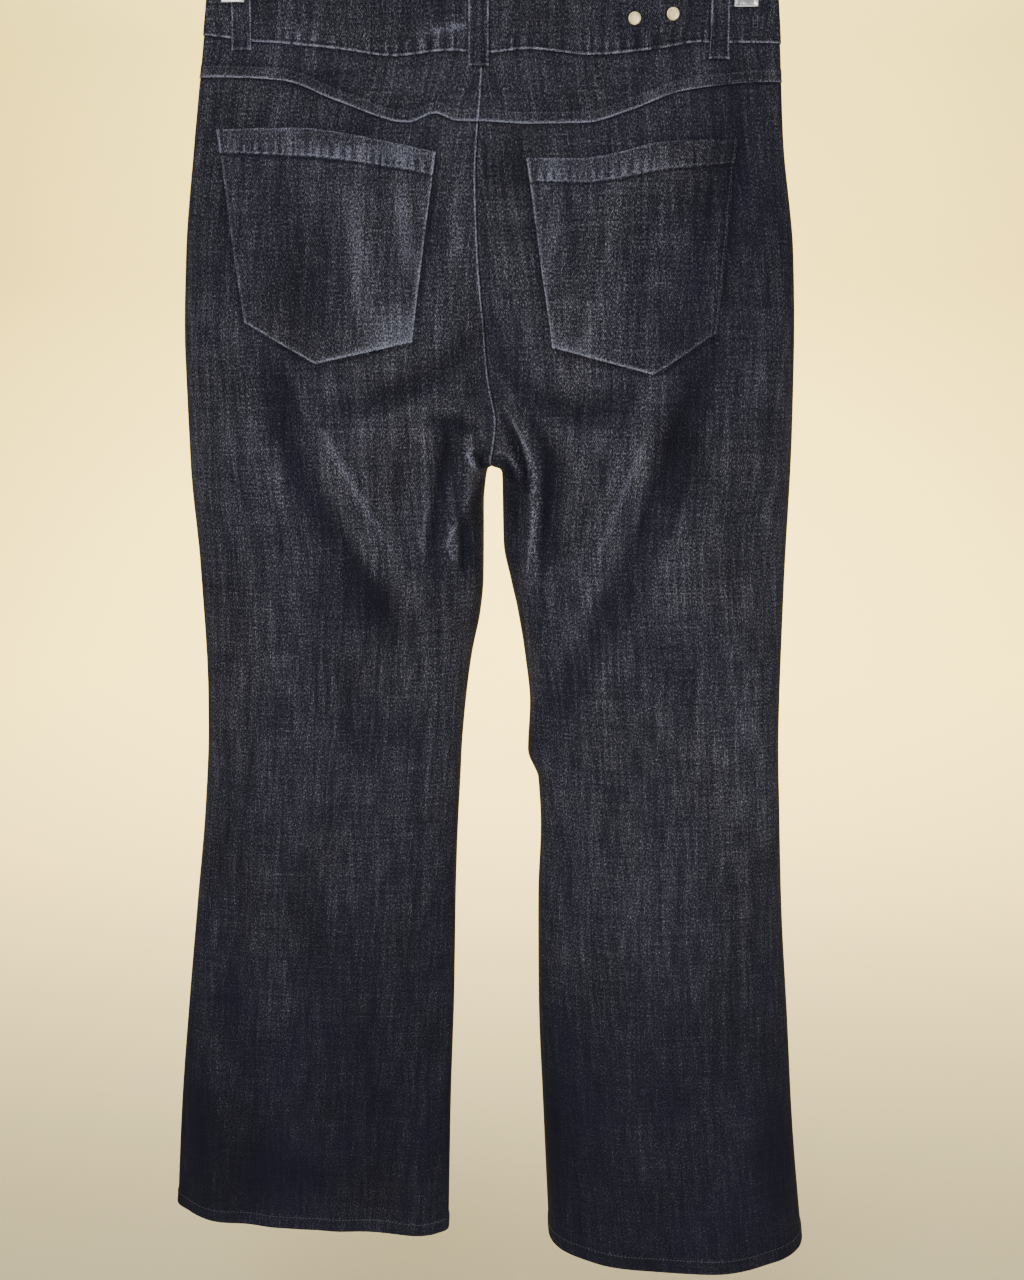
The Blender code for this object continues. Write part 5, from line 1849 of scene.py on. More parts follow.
@dataclass
class Waistband:
    """One half of the waistband, from the centre back round the side to the centre front."""

    side: Side
    finishes: Wardrobe
    sewing: Sewing
    height: float = 42 * MM
    wall: float = 2.6 * MM
    lift: float = 0.8 * MM
    tab_low: float = 0.77
    tab_high: float = 0.975
    step_start: float = 0.875
    step_end: float = 0.9375
    seam_inset: float = 1.9 * MM
    cut: Cut = Cut(0.48, 0.043, 0.0202)

    @property
    def under(self) -> float:
        """How far the tab lies below the form."""
        return self.lift - self.wall - GAP

    def steps(self) -> Array:
        """Heights of the band's rows over its seam.

        Returns:
            The heights, from the top down.
        """
        close = np.array([0.0, 0.4, 0.9, 1.6, 2.6, 4.0]) * MM
        middle = even_steps(close[-1], self.height - close[-1], 2.0 * MM)
        return np.concatenate([self.height - close, middle[::-1], close[::-1]])

    def strip(
        self, side: Side, face: Face, low: float, high: float, columns: int
    ) -> tuple[Array, ...]:
        """Points, normals, columns and edge distances of a stretch of the band.

        Args:
            side: The leg over which it runs.
            face: The back or the front.
            low: Its first column.
            high: Its last column.
            columns: How many columns lie between the close ones.

        Returns:
            Points, normals, columns, distances from the first and the last column.
        """
        dense = PanelGrid.dense()
        seam = FORM.seam_height(side, face, dense, BAND_SEAM[face]) + HALF_GAP
        levels = [seam + step for step in self.steps()]
        across, z, first, last = PanelGrid(side, face, levels).spread(low, high, columns)
        return *FORM.laid(side, face, across, z), across, first, last

    def build(self) -> Piece:
        """Returns:
            The half band as a finished piece.
        """
        back = self.strip(self.side, Face.BACK, 0.0, 1.0, 72)
        front = self.strip(self.side, Face.FRONT, 0.0, 1.0, 72)
        parts = [[a[:, ::-1] for a in back], [a[:, 1:] for a in front]]
        shape = back[2].shape
        lifts = [np.full(shape, self.lift), np.full(parts[1][2].shape, self.lift)]
        if self.side is Side.LEFT:
            step = (parts[1][2] - self.step_start) / (self.step_end - self.step_start)
            lifts[1] = self.lift + (self.under - self.lift) * np.clip(step, 0.0, 1.0)
            tab = self.strip(Side.RIGHT, Face.FRONT, self.tab_low, self.tab_high, 8)
            parts.append([a[:, ::-1] for a in tab])
            lifts.append(np.full(tab[2].shape, self.under))
        points = np.concatenate([part[0] for part in parts], axis=1)
        normals = np.concatenate([part[1] for part in parts], axis=1)
        lift = np.concatenate(lifts, axis=1)
        points[:, shape[1] - 1, 1] = 0.0
        above = np.broadcast_to(self.steps()[:, None], lift.shape)
        rim = np.minimum(above, self.height - above)
        run = np.linalg.norm(np.diff(points, axis=1), axis=-1)
        run = np.concatenate([np.zeros((len(run), 1)), np.cumsum(run, axis=1)], axis=1)
        ends = np.minimum(run, run[:, -1:] - run)
        lift -= 0.55 * MM * (1 - smooth(rim / (0.8 * MM)))
        lift -= 0.4 * MM * (1 - smooth(ends / (0.8 * MM)))
        lift -= 0.12 * MM * line(rim - self.seam_inset, 0.8)
        x = points[..., 0]
        seam_run = run * self.side.value
        wear = 1.4 * line(above, 0.7, 0.7) * unevenness(seam_run, 2.5)
        # Painted shade in the stitch groove above the lower edge.
        wear -= 0.4 * line(above, 0.8, 2.4)
        wear += 0.55 * line(above - self.height, 1.0, -0.9)
        # Painted light and shade on the puckers and ripples, partly worn crests.
        face_sign = np.sign(points[..., 1])
        relief = np.where(
            face_sign < 0,
            FORM.fine_relief(self.side, Face.BACK, x, points[..., 2]),
            FORM.fine_relief(self.side, Face.FRONT, x, points[..., 2]),
        )
        wear += np.clip(relief / (0.45 * MM), -0.5, 0.6)
        # Patches of painted light and shade.
        tones = [patched(face, x, points[..., 2]) for face in (Face.BACK, Face.FRONT)]
        wear += np.where(face_sign < 0, *tones)
        wear += 0.3 * line(ends, 0.8, 0.7)
        grain = np.stack([seam_run, points[..., 2] + 0.9], axis=-1)
        cloth = Cloth(points, normals, grain, wear, lift, self.wall)
        node = f"waistband_{self.side.word}"
        piece = cloth.piece("cloth_" + node, self.finishes.denim, self.side is Side.RIGHT)
        stitches = self.stitch(points, normals, lift, above)
        clips = [f"clip_jaw_{face.word}_{self.side.word}" for face in Face]
        return self.cut.declare(piece, node, DENIM.slot, clips, [stitches])

    def stitch(self, points: Array, normals: Array, lift: Array, above: Array) -> Piece:
        """Stitches along the band's two long edges.

        Args:
            points: The band's points.
            normals: Their normals.
            lift: How far the cloth lies out of them.
            above: Their heights over the band's seam.

        Returns:
            The stitches as one piece.
        """
        lines = []
        for height in (self.seam_inset, self.height - self.seam_inset):
            row = int(np.argmin(np.abs(above[:, 0] - height)))
            place = points[row, 2:-2] + normals[row, 2:-2] * (lift[row, 2:-2, None] + 0.08 * MM)
            lines.append(Stitching(place, normals[row, 2:-2]))
        return self.sewing.sew(f"stitches_waistband_{self.side.word}", lines)


@dataclass
class BeltLoop:
    """A folded loop flat on the waistband, with its tail below the band's seam."""

    name: str
    x: float
    face: Face
    tail: float
    finishes: Wardrobe
    sewing: Sewing
    width: float = 15.4 * MM
    top_inset: float = 1 * MM
    band_height: float = 42 * MM
    band_lift: float = 0.8 * MM
    wall: float = 1.7 * MM
    cut: Cut = Cut(0.0165, 0.053)

    def build(self) -> Piece:
        """Returns:
            The loop as a finished piece.
        """
        seam = float(curve_through(BAND_SEAM[self.face], "z", np.array(self.x), key="x"))
        top = seam + self.band_height - self.top_inset
        bottom = seam - self.tail
        half = self.width / 2
        places = np.array([0.0, 0.35, 0.9, 1.7, 2.7, 3.9, 5.1, 6.1, 6.9]) * MM
        u = np.concatenate([-half + places, [0.0], half - places[::-1]])
        ends = np.array([0.0, 0.4, 0.9, 1.6, 2.4]) * MM
        v = np.concatenate([ends, even_steps(ends[-1], top - bottom - ends[-1], 1.6 * MM)])
        v = np.concatenate([v, top - bottom - ends[::-1]])
        u, v = np.meshgrid(u, v)
        x, z = self.x + u, top - v
        side = Side.LEFT if self.x < 0 else Side.RIGHT
        if abs(self.x) < self.width:
            depth = curve_through(LEG_ROWS[Side.LEFT], "back", z)
            points = np.stack([x, -depth - GAP, z], axis=-1)
            up = np.zeros_like(points)
            up[..., 1] = -1.0
        else:
            points, up = on_form(side, self.face, x, z)
        edge = half - np.abs(u)
        end = np.minimum(v, top - bottom - v)
        rise = self.wall - 0.28 * MM * line(np.abs(u), 1.5, 3.6)
        rise -= 0.7 * MM * (1 - smooth(edge / (0.9 * MM)))
        rise -= 0.35 * MM * (1 - smooth(end / (0.9 * MM)))
        rise -= 0.3 * MM * line(end, 1.2, 2.6)
        seat = self.band_lift * smooth((z - seam) / (3 * MM)) + GAP
        outer = points + up * (seat + rise)[..., None]
        wear = 1.15 * line(edge, 0.7, 0.8) * unevenness(z, self.x)
        # Painted shade in the two grooves down the loop.
        wear -= 0.35 * line(np.abs(u), 1.6, 3.6)
        wear += 0.35 * line(np.abs(u), 0.9) * unevenness(z, 2 * self.x)
        wear += 1.1 * line(end, 0.8, 0.7) * unevenness(x, 4.0)
        grain = np.stack([x + 1.7, z], axis=-1)
        cloth = Cloth(outer, up, grain, wear, 0.0, rise)
        piece = cloth.piece("cloth_" + self.name, self.finishes.denim, self.face is Face.BACK)
        band = [f"cloth_waistband_{side.word}"]
        return self.cut.declare(piece, self.name, DENIM.slot, band, [self.stitch(outer, up)])

    def stitch(self, outer: Array, up: Array) -> Piece:
        """Close bar tacks across both ends of the loop.

        Args:
            outer: The loop's outer points.
            up: Their normals.

        Returns:
            The stitches as one piece.
        """
        proud = outer + up * 0.1 * MM
        rows = (3, 4, len(up) - 4, len(up) - 3)
        lines = [Stitching(proud[row, 2:-2], up[row, 2:-2]) for row in rows]
        return self.sewing.sew(f"stitches_{self.name}", lines, 1.0 * MM, 0.9 * MM)


@dataclass
class PocketFacing:
    """The cloth behind a front pocket's mouth."""

    side: Side
    finishes: Wardrobe
    high: float = 0.625
    underlap: float = 16 * MM
    ramp: float = 14 * MM
    wall: float = 1.6 * MM
    cut: Cut = Cut(0.157, 0.1, 0.0098)

    def build(self) -> Piece:
        """Returns:
            The facing as a finished piece.
        """
        dense = PanelGrid.dense()
        seam = FORM.seam_height(self.side, Face.FRONT, dense, BAND_SEAM[Face.FRONT]) - HALF_GAP
        mouth = LegPanel(self.side, Face.FRONT, self.finishes).scoop(dense, seam)
        bottom = np.minimum(mouth, seam - self.underlap) - self.underlap
        levels = [seam + (bottom - seam) * t for t in np.linspace(0.0, 1.0, 36)]
        grid = PanelGrid(self.side, Face.FRONT, levels)
        across, z, first, _ = grid.spread(0.0, self.high, 44)
        points, normals = FORM.laid(self.side, Face.FRONT, across, z)
        mouth_at = np.interp(across, dense, mouth)
        under = smooth(1 - (z - mouth_at - self.ramp / 2) / self.ramp)
        lift = -(self.wall + 2 * GAP) * under - 0.4 * MM * line(first, 0.7)
        # Painted shade: darker where it dips under the front panel's edge.
        wear = -0.35 * under + 0.0 * z
        cloth = Cloth(points, normals, grain_of(first, z, 2.3), wear, lift, 1.2 * MM)
        node = f"front_pocket_facing_{self.side.word}"
        piece = cloth.piece("cloth_" + node, self.finishes.denim, self.side is Side.RIGHT)
        return self.cut.declare(piece, node, DENIM.slot, [f"cloth_waistband_{self.side.word}"])


@dataclass
class Fly:
    """The folded edge that covers the zip, and the zip behind it."""

    finishes: Wardrobe
    sewing: Sewing
    edge_x: float = 1.4 * MM
    top_z: float = -187.6 * MM
    width: float = 38 * MM
    length: float = 148 * MM
    corner: float = 42 * MM
    wall: float = 1.3 * MM
    zip_top_z: float = -196 * MM
    zip_half_width: float = 13 * MM
    zip_length: float = 140 * MM
    zip_wall: float = 1.2 * MM
    panel_wall: float = 1.6 * MM
    cut: Cut = Cut(0.039, 0.149, 0.0056)
    tape_cut: Cut = Cut(0.03, 0.145)

    def foot(self, reach: Array) -> Array:
        """Height of the flap's curved foot at a distance from its straight edge.

        Args:
            reach: Distances from the straight edge.

        Returns:
            The foot's height at each distance.
        """
        share = np.clip(reach / self.width, 0.0, 1.0)
        low = self.top_z - self.length
        return low + self.corner * (1 - np.sqrt(1 - share**2))

    def build(self) -> Piece:
        """Returns:
            The flap as a finished piece.
        """
        close = NEAR_EDGE[:5]
        middle = even_steps(close[-1], self.width - close[-1], 1.7 * MM)
        u = np.concatenate([close, middle, self.width - close[::-1]])
        fine = np.sin(np.linspace(0.0, math.pi / 2, 12))[6:-1]
        u = np.unique(np.concatenate([u, self.width * fine]))
        v = np.concatenate([[0.0, 0.005, 0.012], np.linspace(0.02, 0.98, 62), [0.988, 0.995, 1.0]])
        u, v = np.meshgrid(u, v)
        foot = self.foot(u)
        z = self.top_z + (foot - self.top_z) * v
        x = self.edge_x + u
        round_run = np.hypot(u, np.maximum(self.top_z - self.length + self.corner - z, 0.0))
        side = np.minimum(self.width - u, np.maximum(self.width - round_run, 0.0))
        near = np.minimum(np.minimum(u, side), np.maximum(z - foot, 0.0))
        rise = self.wall - 0.6 * MM * (1 - smooth(near / (0.9 * MM)))
        rise -= 0.12 * MM * line(side, 0.8, 3)
        outer, up = on_form(Side.RIGHT, Face.FRONT, x, z, GAP + rise)
        wear = 0.9 * line(u, 0.9, 0.9) * unevenness(z, 3.3)
        wear += 0.5 * line(side, 0.9, 0.9) * unevenness(z, 1.3)
        grain = np.stack([x + 2.9, z], axis=-1)
        cloth = Cloth(outer, up, grain, wear, 0.0, rise)
        piece = cloth.piece("cloth_fly_flap", self.finishes.denim, False)
        leg = ["cloth_front_leg_right"]
        self.cut.declare(piece, "fly_flap", DENIM.slot, leg, [self.stitch()])
        self.zip()
        return piece

    def stitch(self) -> Piece:
        """Two lines down the flap that turn in at its foot, and one along its edge.

        Returns:
            The stitches as one piece.
        """
        lines = []
        lift = GAP + self.wall + 0.06 * MM
        for inset in (3 * MM, 9 * MM):
            radius = self.width - inset
            corner_z = self.top_z - self.length + self.corner
            down = even_steps(self.top_z - 2 * MM, corner_z, 2 * MM)
            x, z = [0 * down + self.edge_x + radius], [down]
            angle = np.linspace(0.0, math.pi / 2, 30)[:-1]
            x.append(self.edge_x + radius * np.cos(angle))
            z.append(corner_z - (self.corner - inset) * np.sin(angle))
            place = np.concatenate(x), np.concatenate(z)
            lines.append(stitched(Side.RIGHT, Face.FRONT, *place, lift))
        z = even_steps(self.top_z - 2 * MM, self.top_z - self.length + 3 * MM, 2 * MM)
        lines.append(stitched(Side.RIGHT, Face.FRONT, 0 * z + self.edge_x + 2 * MM, z, lift))
        return self.sewing.sew("stitches_fly", lines)

    def zip(self) -> None:
        """The closed zip: a tape and its row of teeth."""
        x = np.linspace(-self.zip_half_width, self.zip_half_width, 15)
        z = np.linspace(self.zip_top_z, self.zip_top_z - self.zip_length, 60)
        x, z = np.meshgrid(x, z)
        depth = curve_through(LEG_ROWS[Side.RIGHT], "front", z)
        depth = depth * FORM.section_height(z, np.ones_like(z)) - self.panel_wall - 3 * GAP
        outer = np.stack([x, depth, z], axis=-1)
        inner = outer - (0.0, self.zip_wall * 0.6, 0.0)
        outer[..., 1] -= 0.35 * MM
        inner[..., 1] -= 0.35 * MM
        wear = 0.0 * x
        grain = np.stack([x + 3.3, z], axis=-1)
        tape = shell("zip_tape", outer, inner, grain, wear, self.finishes.tape, False)
        middle = outer[2:-2, 7] + (0.0, 0.25 * MM, 0.0)
        up = np.tile((0.0, 1.0, 0.0), (len(middle), 1))
        teeth = self.sewing.sew("zip_teeth", [Stitching(middle, up)], 1.7 * MM, 1.1 * MM)
        teeth.data.materials[0] = self.finishes.rivet
        self.tape_cut.declare(tape, "fly_zip", TAPE.slot, ["cloth_fly_flap"], [teeth])


@dataclass
class SeamStitches:
    """Stitches on the panels and the yokes."""

    side: Side
    sewing: Sewing
    hem_line: float = 12.6 * MM
    hem_lift: float = 0.7 * MM

    def along(self, face: Face, across: Array, z: Array, lift: Lift) -> Stitching:
        """A line of stitches given by columns and heights.

        Args:
            face: The back or the front.
            across: Columns, 0 at the side seam and 1 at the centre.
            z: Heights.
            lift: How far the line lies out of the form.

        Returns:
            The line.
        """
        points = FORM.point(self.side, face, across, z)
        up = FORM.normal(self.side, face, across, z)
        return Stitching(points + up * np.broadcast_to(lift, across.shape)[..., None], up)

    def build(self) -> list[Piece]:
        """The stitches of one leg: hem, yoke and front pocket.

        Returns:
            One piece for each kind of seam.
        """
        across = np.linspace(0.06, 0.94, 150)
        hems = []
        for face in Face:
            z = FORM.seam_height(self.side, face, across, HEM[self.side]) + self.hem_line
            hems.append(self.along(face, across, z, self.hem_lift + 0.1 * MM))
        across = np.linspace(0.04, 0.985, 160)
        seam = FORM.seam_height(self.side, Face.BACK, across, YOKE_SEAM)
        yoke = [
            self.along(Face.BACK, across, seam + 2.0 * MM, 0.62 * MM),
            self.along(Face.BACK, across, seam + 7.6 * MM, 0.42 * MM),
        ]
        across = np.linspace(0.05, 0.6, 120)
        band = FORM.seam_height(self.side, Face.FRONT, across, BAND_SEAM[Face.FRONT])
        panel = LegPanel(self.side, Face.FRONT, self.sewing.finishes)
        mouth = panel.scoop(across, band)
        inside = mouth < band - 3 * MM
        slope = np.gradient(mouth[inside], FORM.plain(
            self.side, Face.FRONT, across[inside], mouth[inside])[..., 0])
        lines = []
        for inset in (2.2 * MM, 8.2 * MM):
            x = FORM.plain(self.side, Face.FRONT, across[inside], mouth[inside])[..., 0]
            away = np.sqrt(1 + slope**2)
            x_in = x + inset * slope / away
            z_in = mouth[inside] - inset / away
            lines.append(stitched(self.side, Face.FRONT, x_in, z_in, 0.1 * MM))
        word = self.side.word
        return [
            self.sewing.sew(f"stitches_hem_{word}", hems),
            self.sewing.sew(f"stitches_yoke_{word}", yoke),
            self.sewing.sew(f"stitches_front_pocket_{word}", lines),
        ]


# ---------------------------------------------------------------- fastenings and hanger

STUD_SIDES = 40
SHARP_ANGLE = math.radians(50)


def ring_mesh(name: str, rings: Sequence[Array], tip: Optional[Array] = None) -> Mesh:
    """A closed mesh through rings of points.

    Args:
        name: The mesh's name.
        rings: Points of each ring, all with the same number.
        tip: The point on which the last ring closes. Without it, the ring is filled flat.

    Returns:
        The mesh, with its faces outwards.
    """
    sides, last = len(rings[0]), (len(rings) - 1) * len(rings[0])
    points = np.concatenate([*rings, np.empty((0, 3)) if tip is None else tip[None]])
    faces: list[tuple[int, ...]] = [tuple(range(sides))]
    for i in range(sides):
        j = (i + 1) % sides
        for start in range(0, last, sides):
            faces.append((start + j, start + i, start + sides + i, start + sides + j))
        if tip is not None:
            faces.append((last + j, last + i, len(points) - 1))
    if tip is None:
        faces.append(tuple(range(last, last + sides)))
    mesh = bpy.data.meshes.new(name)
    mesh.from_pydata(points.tolist(), [], faces)
    turn_outwards(mesh)
    mesh.shade_smooth()
    return mesh


def turned(
    name: str, seat: Array, axis: Array, profile: Sequence[tuple[float, float]], material: Material
) -> Piece:
    """A round piece from a profile that ends on its axis.

    Args:
        name: The piece's name.
        seat: The middle of its foot.
        axis: The way out of the cloth.
        profile: Radii and heights in millimetres, from the foot to the crown.
        material: The finish.

    Returns:
        The piece.
    """
    aside = np.cross(axis, (0.0, 0.0, 1.0))
    aside = aside / np.linalg.norm(aside)
    up = np.cross(aside, axis)
    angles = np.linspace(0.0, TURN, STUD_SIDES, endpoint=False)
    spokes = np.cos(angles)[:, None] * aside + np.sin(angles)[:, None] * up
    rings = [seat + spokes * reach * MM + axis * rise * MM for reach, rise in profile[:-1]]
    mesh = ring_mesh(name, rings, seat + axis * profile[-1][1] * MM)
    mesh.set_sharp_from_angle(angle=SHARP_ANGLE)
    return put_in_scene(name, mesh, material)


def turn_outwards(mesh: Mesh) -> None:
    """Turns a closed mesh's faces outwards.

    Args:
        mesh: The mesh.
    """
    work = bmesh.new()
    work.from_mesh(mesh)
    bmesh.ops.recalc_face_normals(work, faces=work.faces)
    work.to_mesh(mesh)
    work.free()


class StudKind(Enum):
    """Profiles of the turned metal pieces, in millimetres."""

    FLAT_RIVET = (
        (4.6, -0.4), (4.6, 0.5), (4.52, 0.95), (4.25, 1.2), (3.9, 1.25), (3.6, 1.12), (3.3, 0.82),
        (3.0, 0.74), (1.6, 0.76), (0.0, 0.78)
    )
    POCKET_RIVET = (
        (4.2, -0.4), (4.2, 0.5), (4.05, 0.85), (3.6, 1.05), (2.6, 1.1), (1.9, 1.05), (1.5, 1.3),
        (1.1, 1.55), (0.5, 1.62), (0.0, 1.63)
    )
    BUTTON = (
        (8.5, -0.6), (8.5, 1.7), (8.35, 2.3), (7.9, 2.7), (7.3, 2.8), (6.8, 2.6), (6.2, 2.2),
        (5.2, 2.1), (4.0, 2.3), (2.4, 2.6), (1.0, 2.75), (0.0, 2.8)
    )


@dataclass
class Stud:
    """A rivet or the button, seated on the cloth."""

    node: str
    side: Side
    face: Face
    x: float
    z: float
    lift: float
    kind: StudKind
    finishes: Wardrobe
    seat: float = 0.5 * MM

    def build(self) -> Piece:
        """Builds the stud.

        Returns:
            The stud as a finished piece.
        """
        x, z = np.array([self.x]), np.array([self.z])
        points, up = on_form(self.side, self.face, x, z, self.lift + self.seat)
        name = "metal_" + self.node
        piece = turned(name, points[0], up[0], self.kind.value, self.finishes.rivet)
        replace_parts(piece, self.node)
        return piece


def tube(
    name: str, path: Array, radius: float, across: Array, material: Material, sides: int = 20
) -> Piece:
    """A round wire along a path, with round ends.

    Args:
        name: The piece's name.
        path: The wire's middle line.
        radius: Half the wire's thickness.
        across: A direction that the path never follows.
        material: The finish.
        sides: How many points go round.

    Returns:
        The piece.
    """
    ahead = np.gradient(path, axis=0)
    ahead = ahead / np.linalg.norm(ahead, axis=1, keepdims=True)
    first = np.cross(ahead, across)
    first = first / np.linalg.norm(first, axis=1, keepdims=True)
    second = np.cross(ahead, first)
    angles = np.linspace(0.0, TURN, sides, endpoint=False)
    cosines, sines = np.cos(angles)[:, None], np.sin(angles)[:, None]
    spokes = [cosines * one + sines * other for one, other in zip(first, second)]
    caps = np.radians([80.0, 60.0, 40.0, 20.0])
    start = [(path[0] + ahead[0] * radius * (1 - math.sin(a)), 0, math.cos(a)) for a in caps]
    end = [(path[-1] - ahead[-1] * radius * (1 - math.sin(a)), -1, math.cos(a)) for a in caps[::-1]]
    middle = [(path[i], i, 1.0) for i in range(1, len(path) - 1)]
    rings = [place + radius * reach * spokes[i] for place, i, reach in start + middle + end]
    return put_in_scene(name, ring_mesh(name, rings), material)


@dataclass
class Hanger:
    """The wire hook, the bar and the two clips."""

    finishes: Wardrobe
    bar_z: float = -85 * MM
    bar_radius: float = 2.5 * MM
    bar_half_length: float = 208 * MM
    hook_radius: float = 18 * MM
    wire_radius: float = 2 * MM
    collar_half: float = 7 * MM
    clip_width: float = 18 * MM
    lip_top_z: float = -117 * MM
    clip_left_z: float = -140.3 * MM
    clip_right_z: float = -147.0 * MM
    sleeve_radius: float = 5.2 * MM
    sleeve_length: float = 16.2 * MM
    spring_wire: float = 0.85 * MM
    spring_turns: int = 8
    sheet_metal: float = 1.0 * MM
    rim: float = 0.8 * MM
    band_lift: float = 0.8 * MM
    loop_wall: float = 1.7 * MM
    jaw_rows: tuple[tuple[float, float], ...] = (
        (2.5, -106), (2.3, -97), (0.3, -91), (0.3, -79), (3.8, -70), (8.8, -60)
    )

    def build(self) -> list[Piece]:
        """Builds all hanger pieces.

        Returns:
            The pieces.
        """
        pieces = [self.hook(), self.bar()]
        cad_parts["hanger_collar"].data.materials.clear()
        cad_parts["hanger_collar"].data.materials.append(self.finishes.steel)
        for side in Side:
            pieces.append(self.spring(side))
            for face in Face:
                pieces.append(self.jaw(side, face))
        return pieces

    def hook(self) -> Piece:
        """The hook, from its free tip over the top and down into the collar.

        Returns:
            The hook as a finished piece.
        """
        radius = self.hook_radius + self.wire_radius
        angles = np.radians(np.linspace(-25, 225, 90))
        path = [
            (radius * math.cos(a), 0.0, radius * math.sin(a) - self.hook_radius) for a in angles
        ]
        start = path[-1]
        turn = math.radians(45)
        bend = -start[0] / (1 - math.cos(turn))
        for a in np.linspace(turn, 0.0, 20)[1:]:
            x = -bend * (1 - math.cos(a))
            path.append((x, 0.0, start[2] - bend * (math.sin(turn) - math.sin(a))))
        path.append((0.0, 0.0, self.bar_z + self.collar_half + GAP))
        across = np.array([0.0, 1.0, 0.0])
        steel = self.finishes.steel
        piece = tube("steel_hook", np.array(path), self.wire_radius, across, steel)
        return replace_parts(piece, "hanger_hook")

    def bar(self) -> Piece:
        """The bar that carries the clips.

        Returns:
            The bar as a finished piece.
        """
        x = np.linspace(-self.bar_half_length, self.bar_half_length, 40)
        path = np.stack([x, 0 * x, 0 * x + self.bar_z], axis=-1)
        across = np.array([0.0, 0.0, 1.0])
        piece = tube("steel_bar", path, self.bar_radius, across, self.finishes.steel, 28)
        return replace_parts(piece, "hanger_bar")

    def spring(self, side: Side) -> Piece:
        """The coiled spring round the bar between a clip's jaws.

        Args:
            side: The clip's side.

        Returns:
            The spring as a finished piece.
        """
        reach = self.sleeve_radius - self.spring_wire
        turns = np.linspace(0.0, TURN * self.spring_turns, self.spring_turns * 24)
        half = self.sleeve_length / 2 - self.spring_wire
        x = FORM.clip_x(side) + np.linspace(-half, half, len(turns))
        path = np.stack([x, reach * np.sin(turns), self.bar_z + reach * np.cos(turns)], axis=-1)
        across = np.array([1.0, 0.0, 0.0])
        name = f"steel_spring_{side.word}"
        piece = tube(name, path, self.spring_wire, across, self.finishes.steel, 10)
        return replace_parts(piece, f"clip_sleeve_{side.word}")

    def jaw(self, side: Side, face: Face) -> Piece:
        """A pressed jaw: a lip with a rolled rim, a bow round the spring and a thumb piece.

        Args:
            side: The clip's side.
            face: The back or the front.

        Returns:
            The jaw as a finished piece.
        """
        lip = FORM.clip_half_grip + self.band_lift + GAP
        if side is Side.LEFT and face is Face.BACK:
            lip = lip + self.loop_wall + GAP
        bottom = self.clip_left_z if side is Side.LEFT else self.clip_right_z
        corners = [(lip, bottom), (lip, self.lip_top_z)]
        corners += [(self.sleeve_radius + off * MM, z * MM) for off, z in self.jaw_rows]
        depth, height = zip(*corners)
        key = np.array(height)
        z = np.concatenate([key[0] + NEAR_EDGE[:5], np.arange(key[0] + 5 * MM, key[-1], 1.2 * MM)])
        z = np.concatenate([z, key[-1] - NEAR_EDGE[4::-1]])
        y = np.interp(z, key, depth)
        half = self.clip_width / 2
        places = np.array([0.0, 0.3, 0.7, 1.2, 1.8, 3.0, 5.0, 7.0]) * MM
        u = np.concatenate([-half + places, [0.0], half - places[::-1]])
        u, z = np.meshgrid(u, z)
        y = np.broadcast_to(y[:, None], u.shape)
        edge = np.minimum(half - np.abs(u), np.minimum(z - key[0], key[-1] - z))
        rise = self.sheet_metal + self.rim * line(edge, 0.8, 0.9)
        rise += 0.5 * MM * line(u, 2.2) * smooth((z - key[0]) / (8 * MM))
        rise -= 0.4 * MM * (1 - smooth(edge / (0.4 * MM)))
        inner = np.stack([FORM.clip_x(side) + u, face.value * y, z], axis=-1)
        outer = inner + np.stack([0 * u, face.value * rise, 0 * u], axis=-1)
        name = f"steel_jaw_{face.word}_{side.word}"
        wear = 0 * u
        grain = np.stack([u, z], axis=-1)
        piece = shell(name, outer, inner, grain, wear, self.finishes.steel, face is Face.BACK)
        turn_outwards(piece.data)
        piece.data.shade_smooth()
        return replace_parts(piece, f"clip_jaw_{face.word}_{side.word}")


def show(piece: Piece) -> None:
    """Says in the log what a piece holds."""
    LOG.info("%s: %d points", piece.name, len(piece.data.vertices))


class Lamp(NamedTuple):
    """A soft rectangular lamp. Its turn and spread are in degrees."""

    name: str
    place: Triple
    turn: Triple
    size: tuple[float, float]
    spread: float
    power: float
    colour: Triple = (1.0, 0.985, 0.97)


COOL = (0.25, 0.50, 1.0)
LAMPS = (
    Lamp("lamp_front", (-0.5, -2.0, 1.2), (62.0, 0.0, -14.0), (1.5, 1.5), 180.0, 35.0),
    Lamp("lamp_side", (1.9, -1.4, 0.4), (72.0, 0.0, 55.0), (1.6, 1.6), 180.0, 10.0),
    Lamp("lamp_far", (0.5, 2.0, 1.2), (62.0, 0.0, 168.0), (1.5, 1.5), 70.0, 14.0, COOL),
    Lamp("lamp_floor", (0.0, -1.3, 2.2), (-4.0, 0.0, 0.0), (1.6, 1.0), 50.0, 64.0),
    Lamp("lamp_wall", (0.0, 0.9, 2.1), (34.0, 0.0, 0.0), (3.4, 0.8), 94.0, 320.0),
)


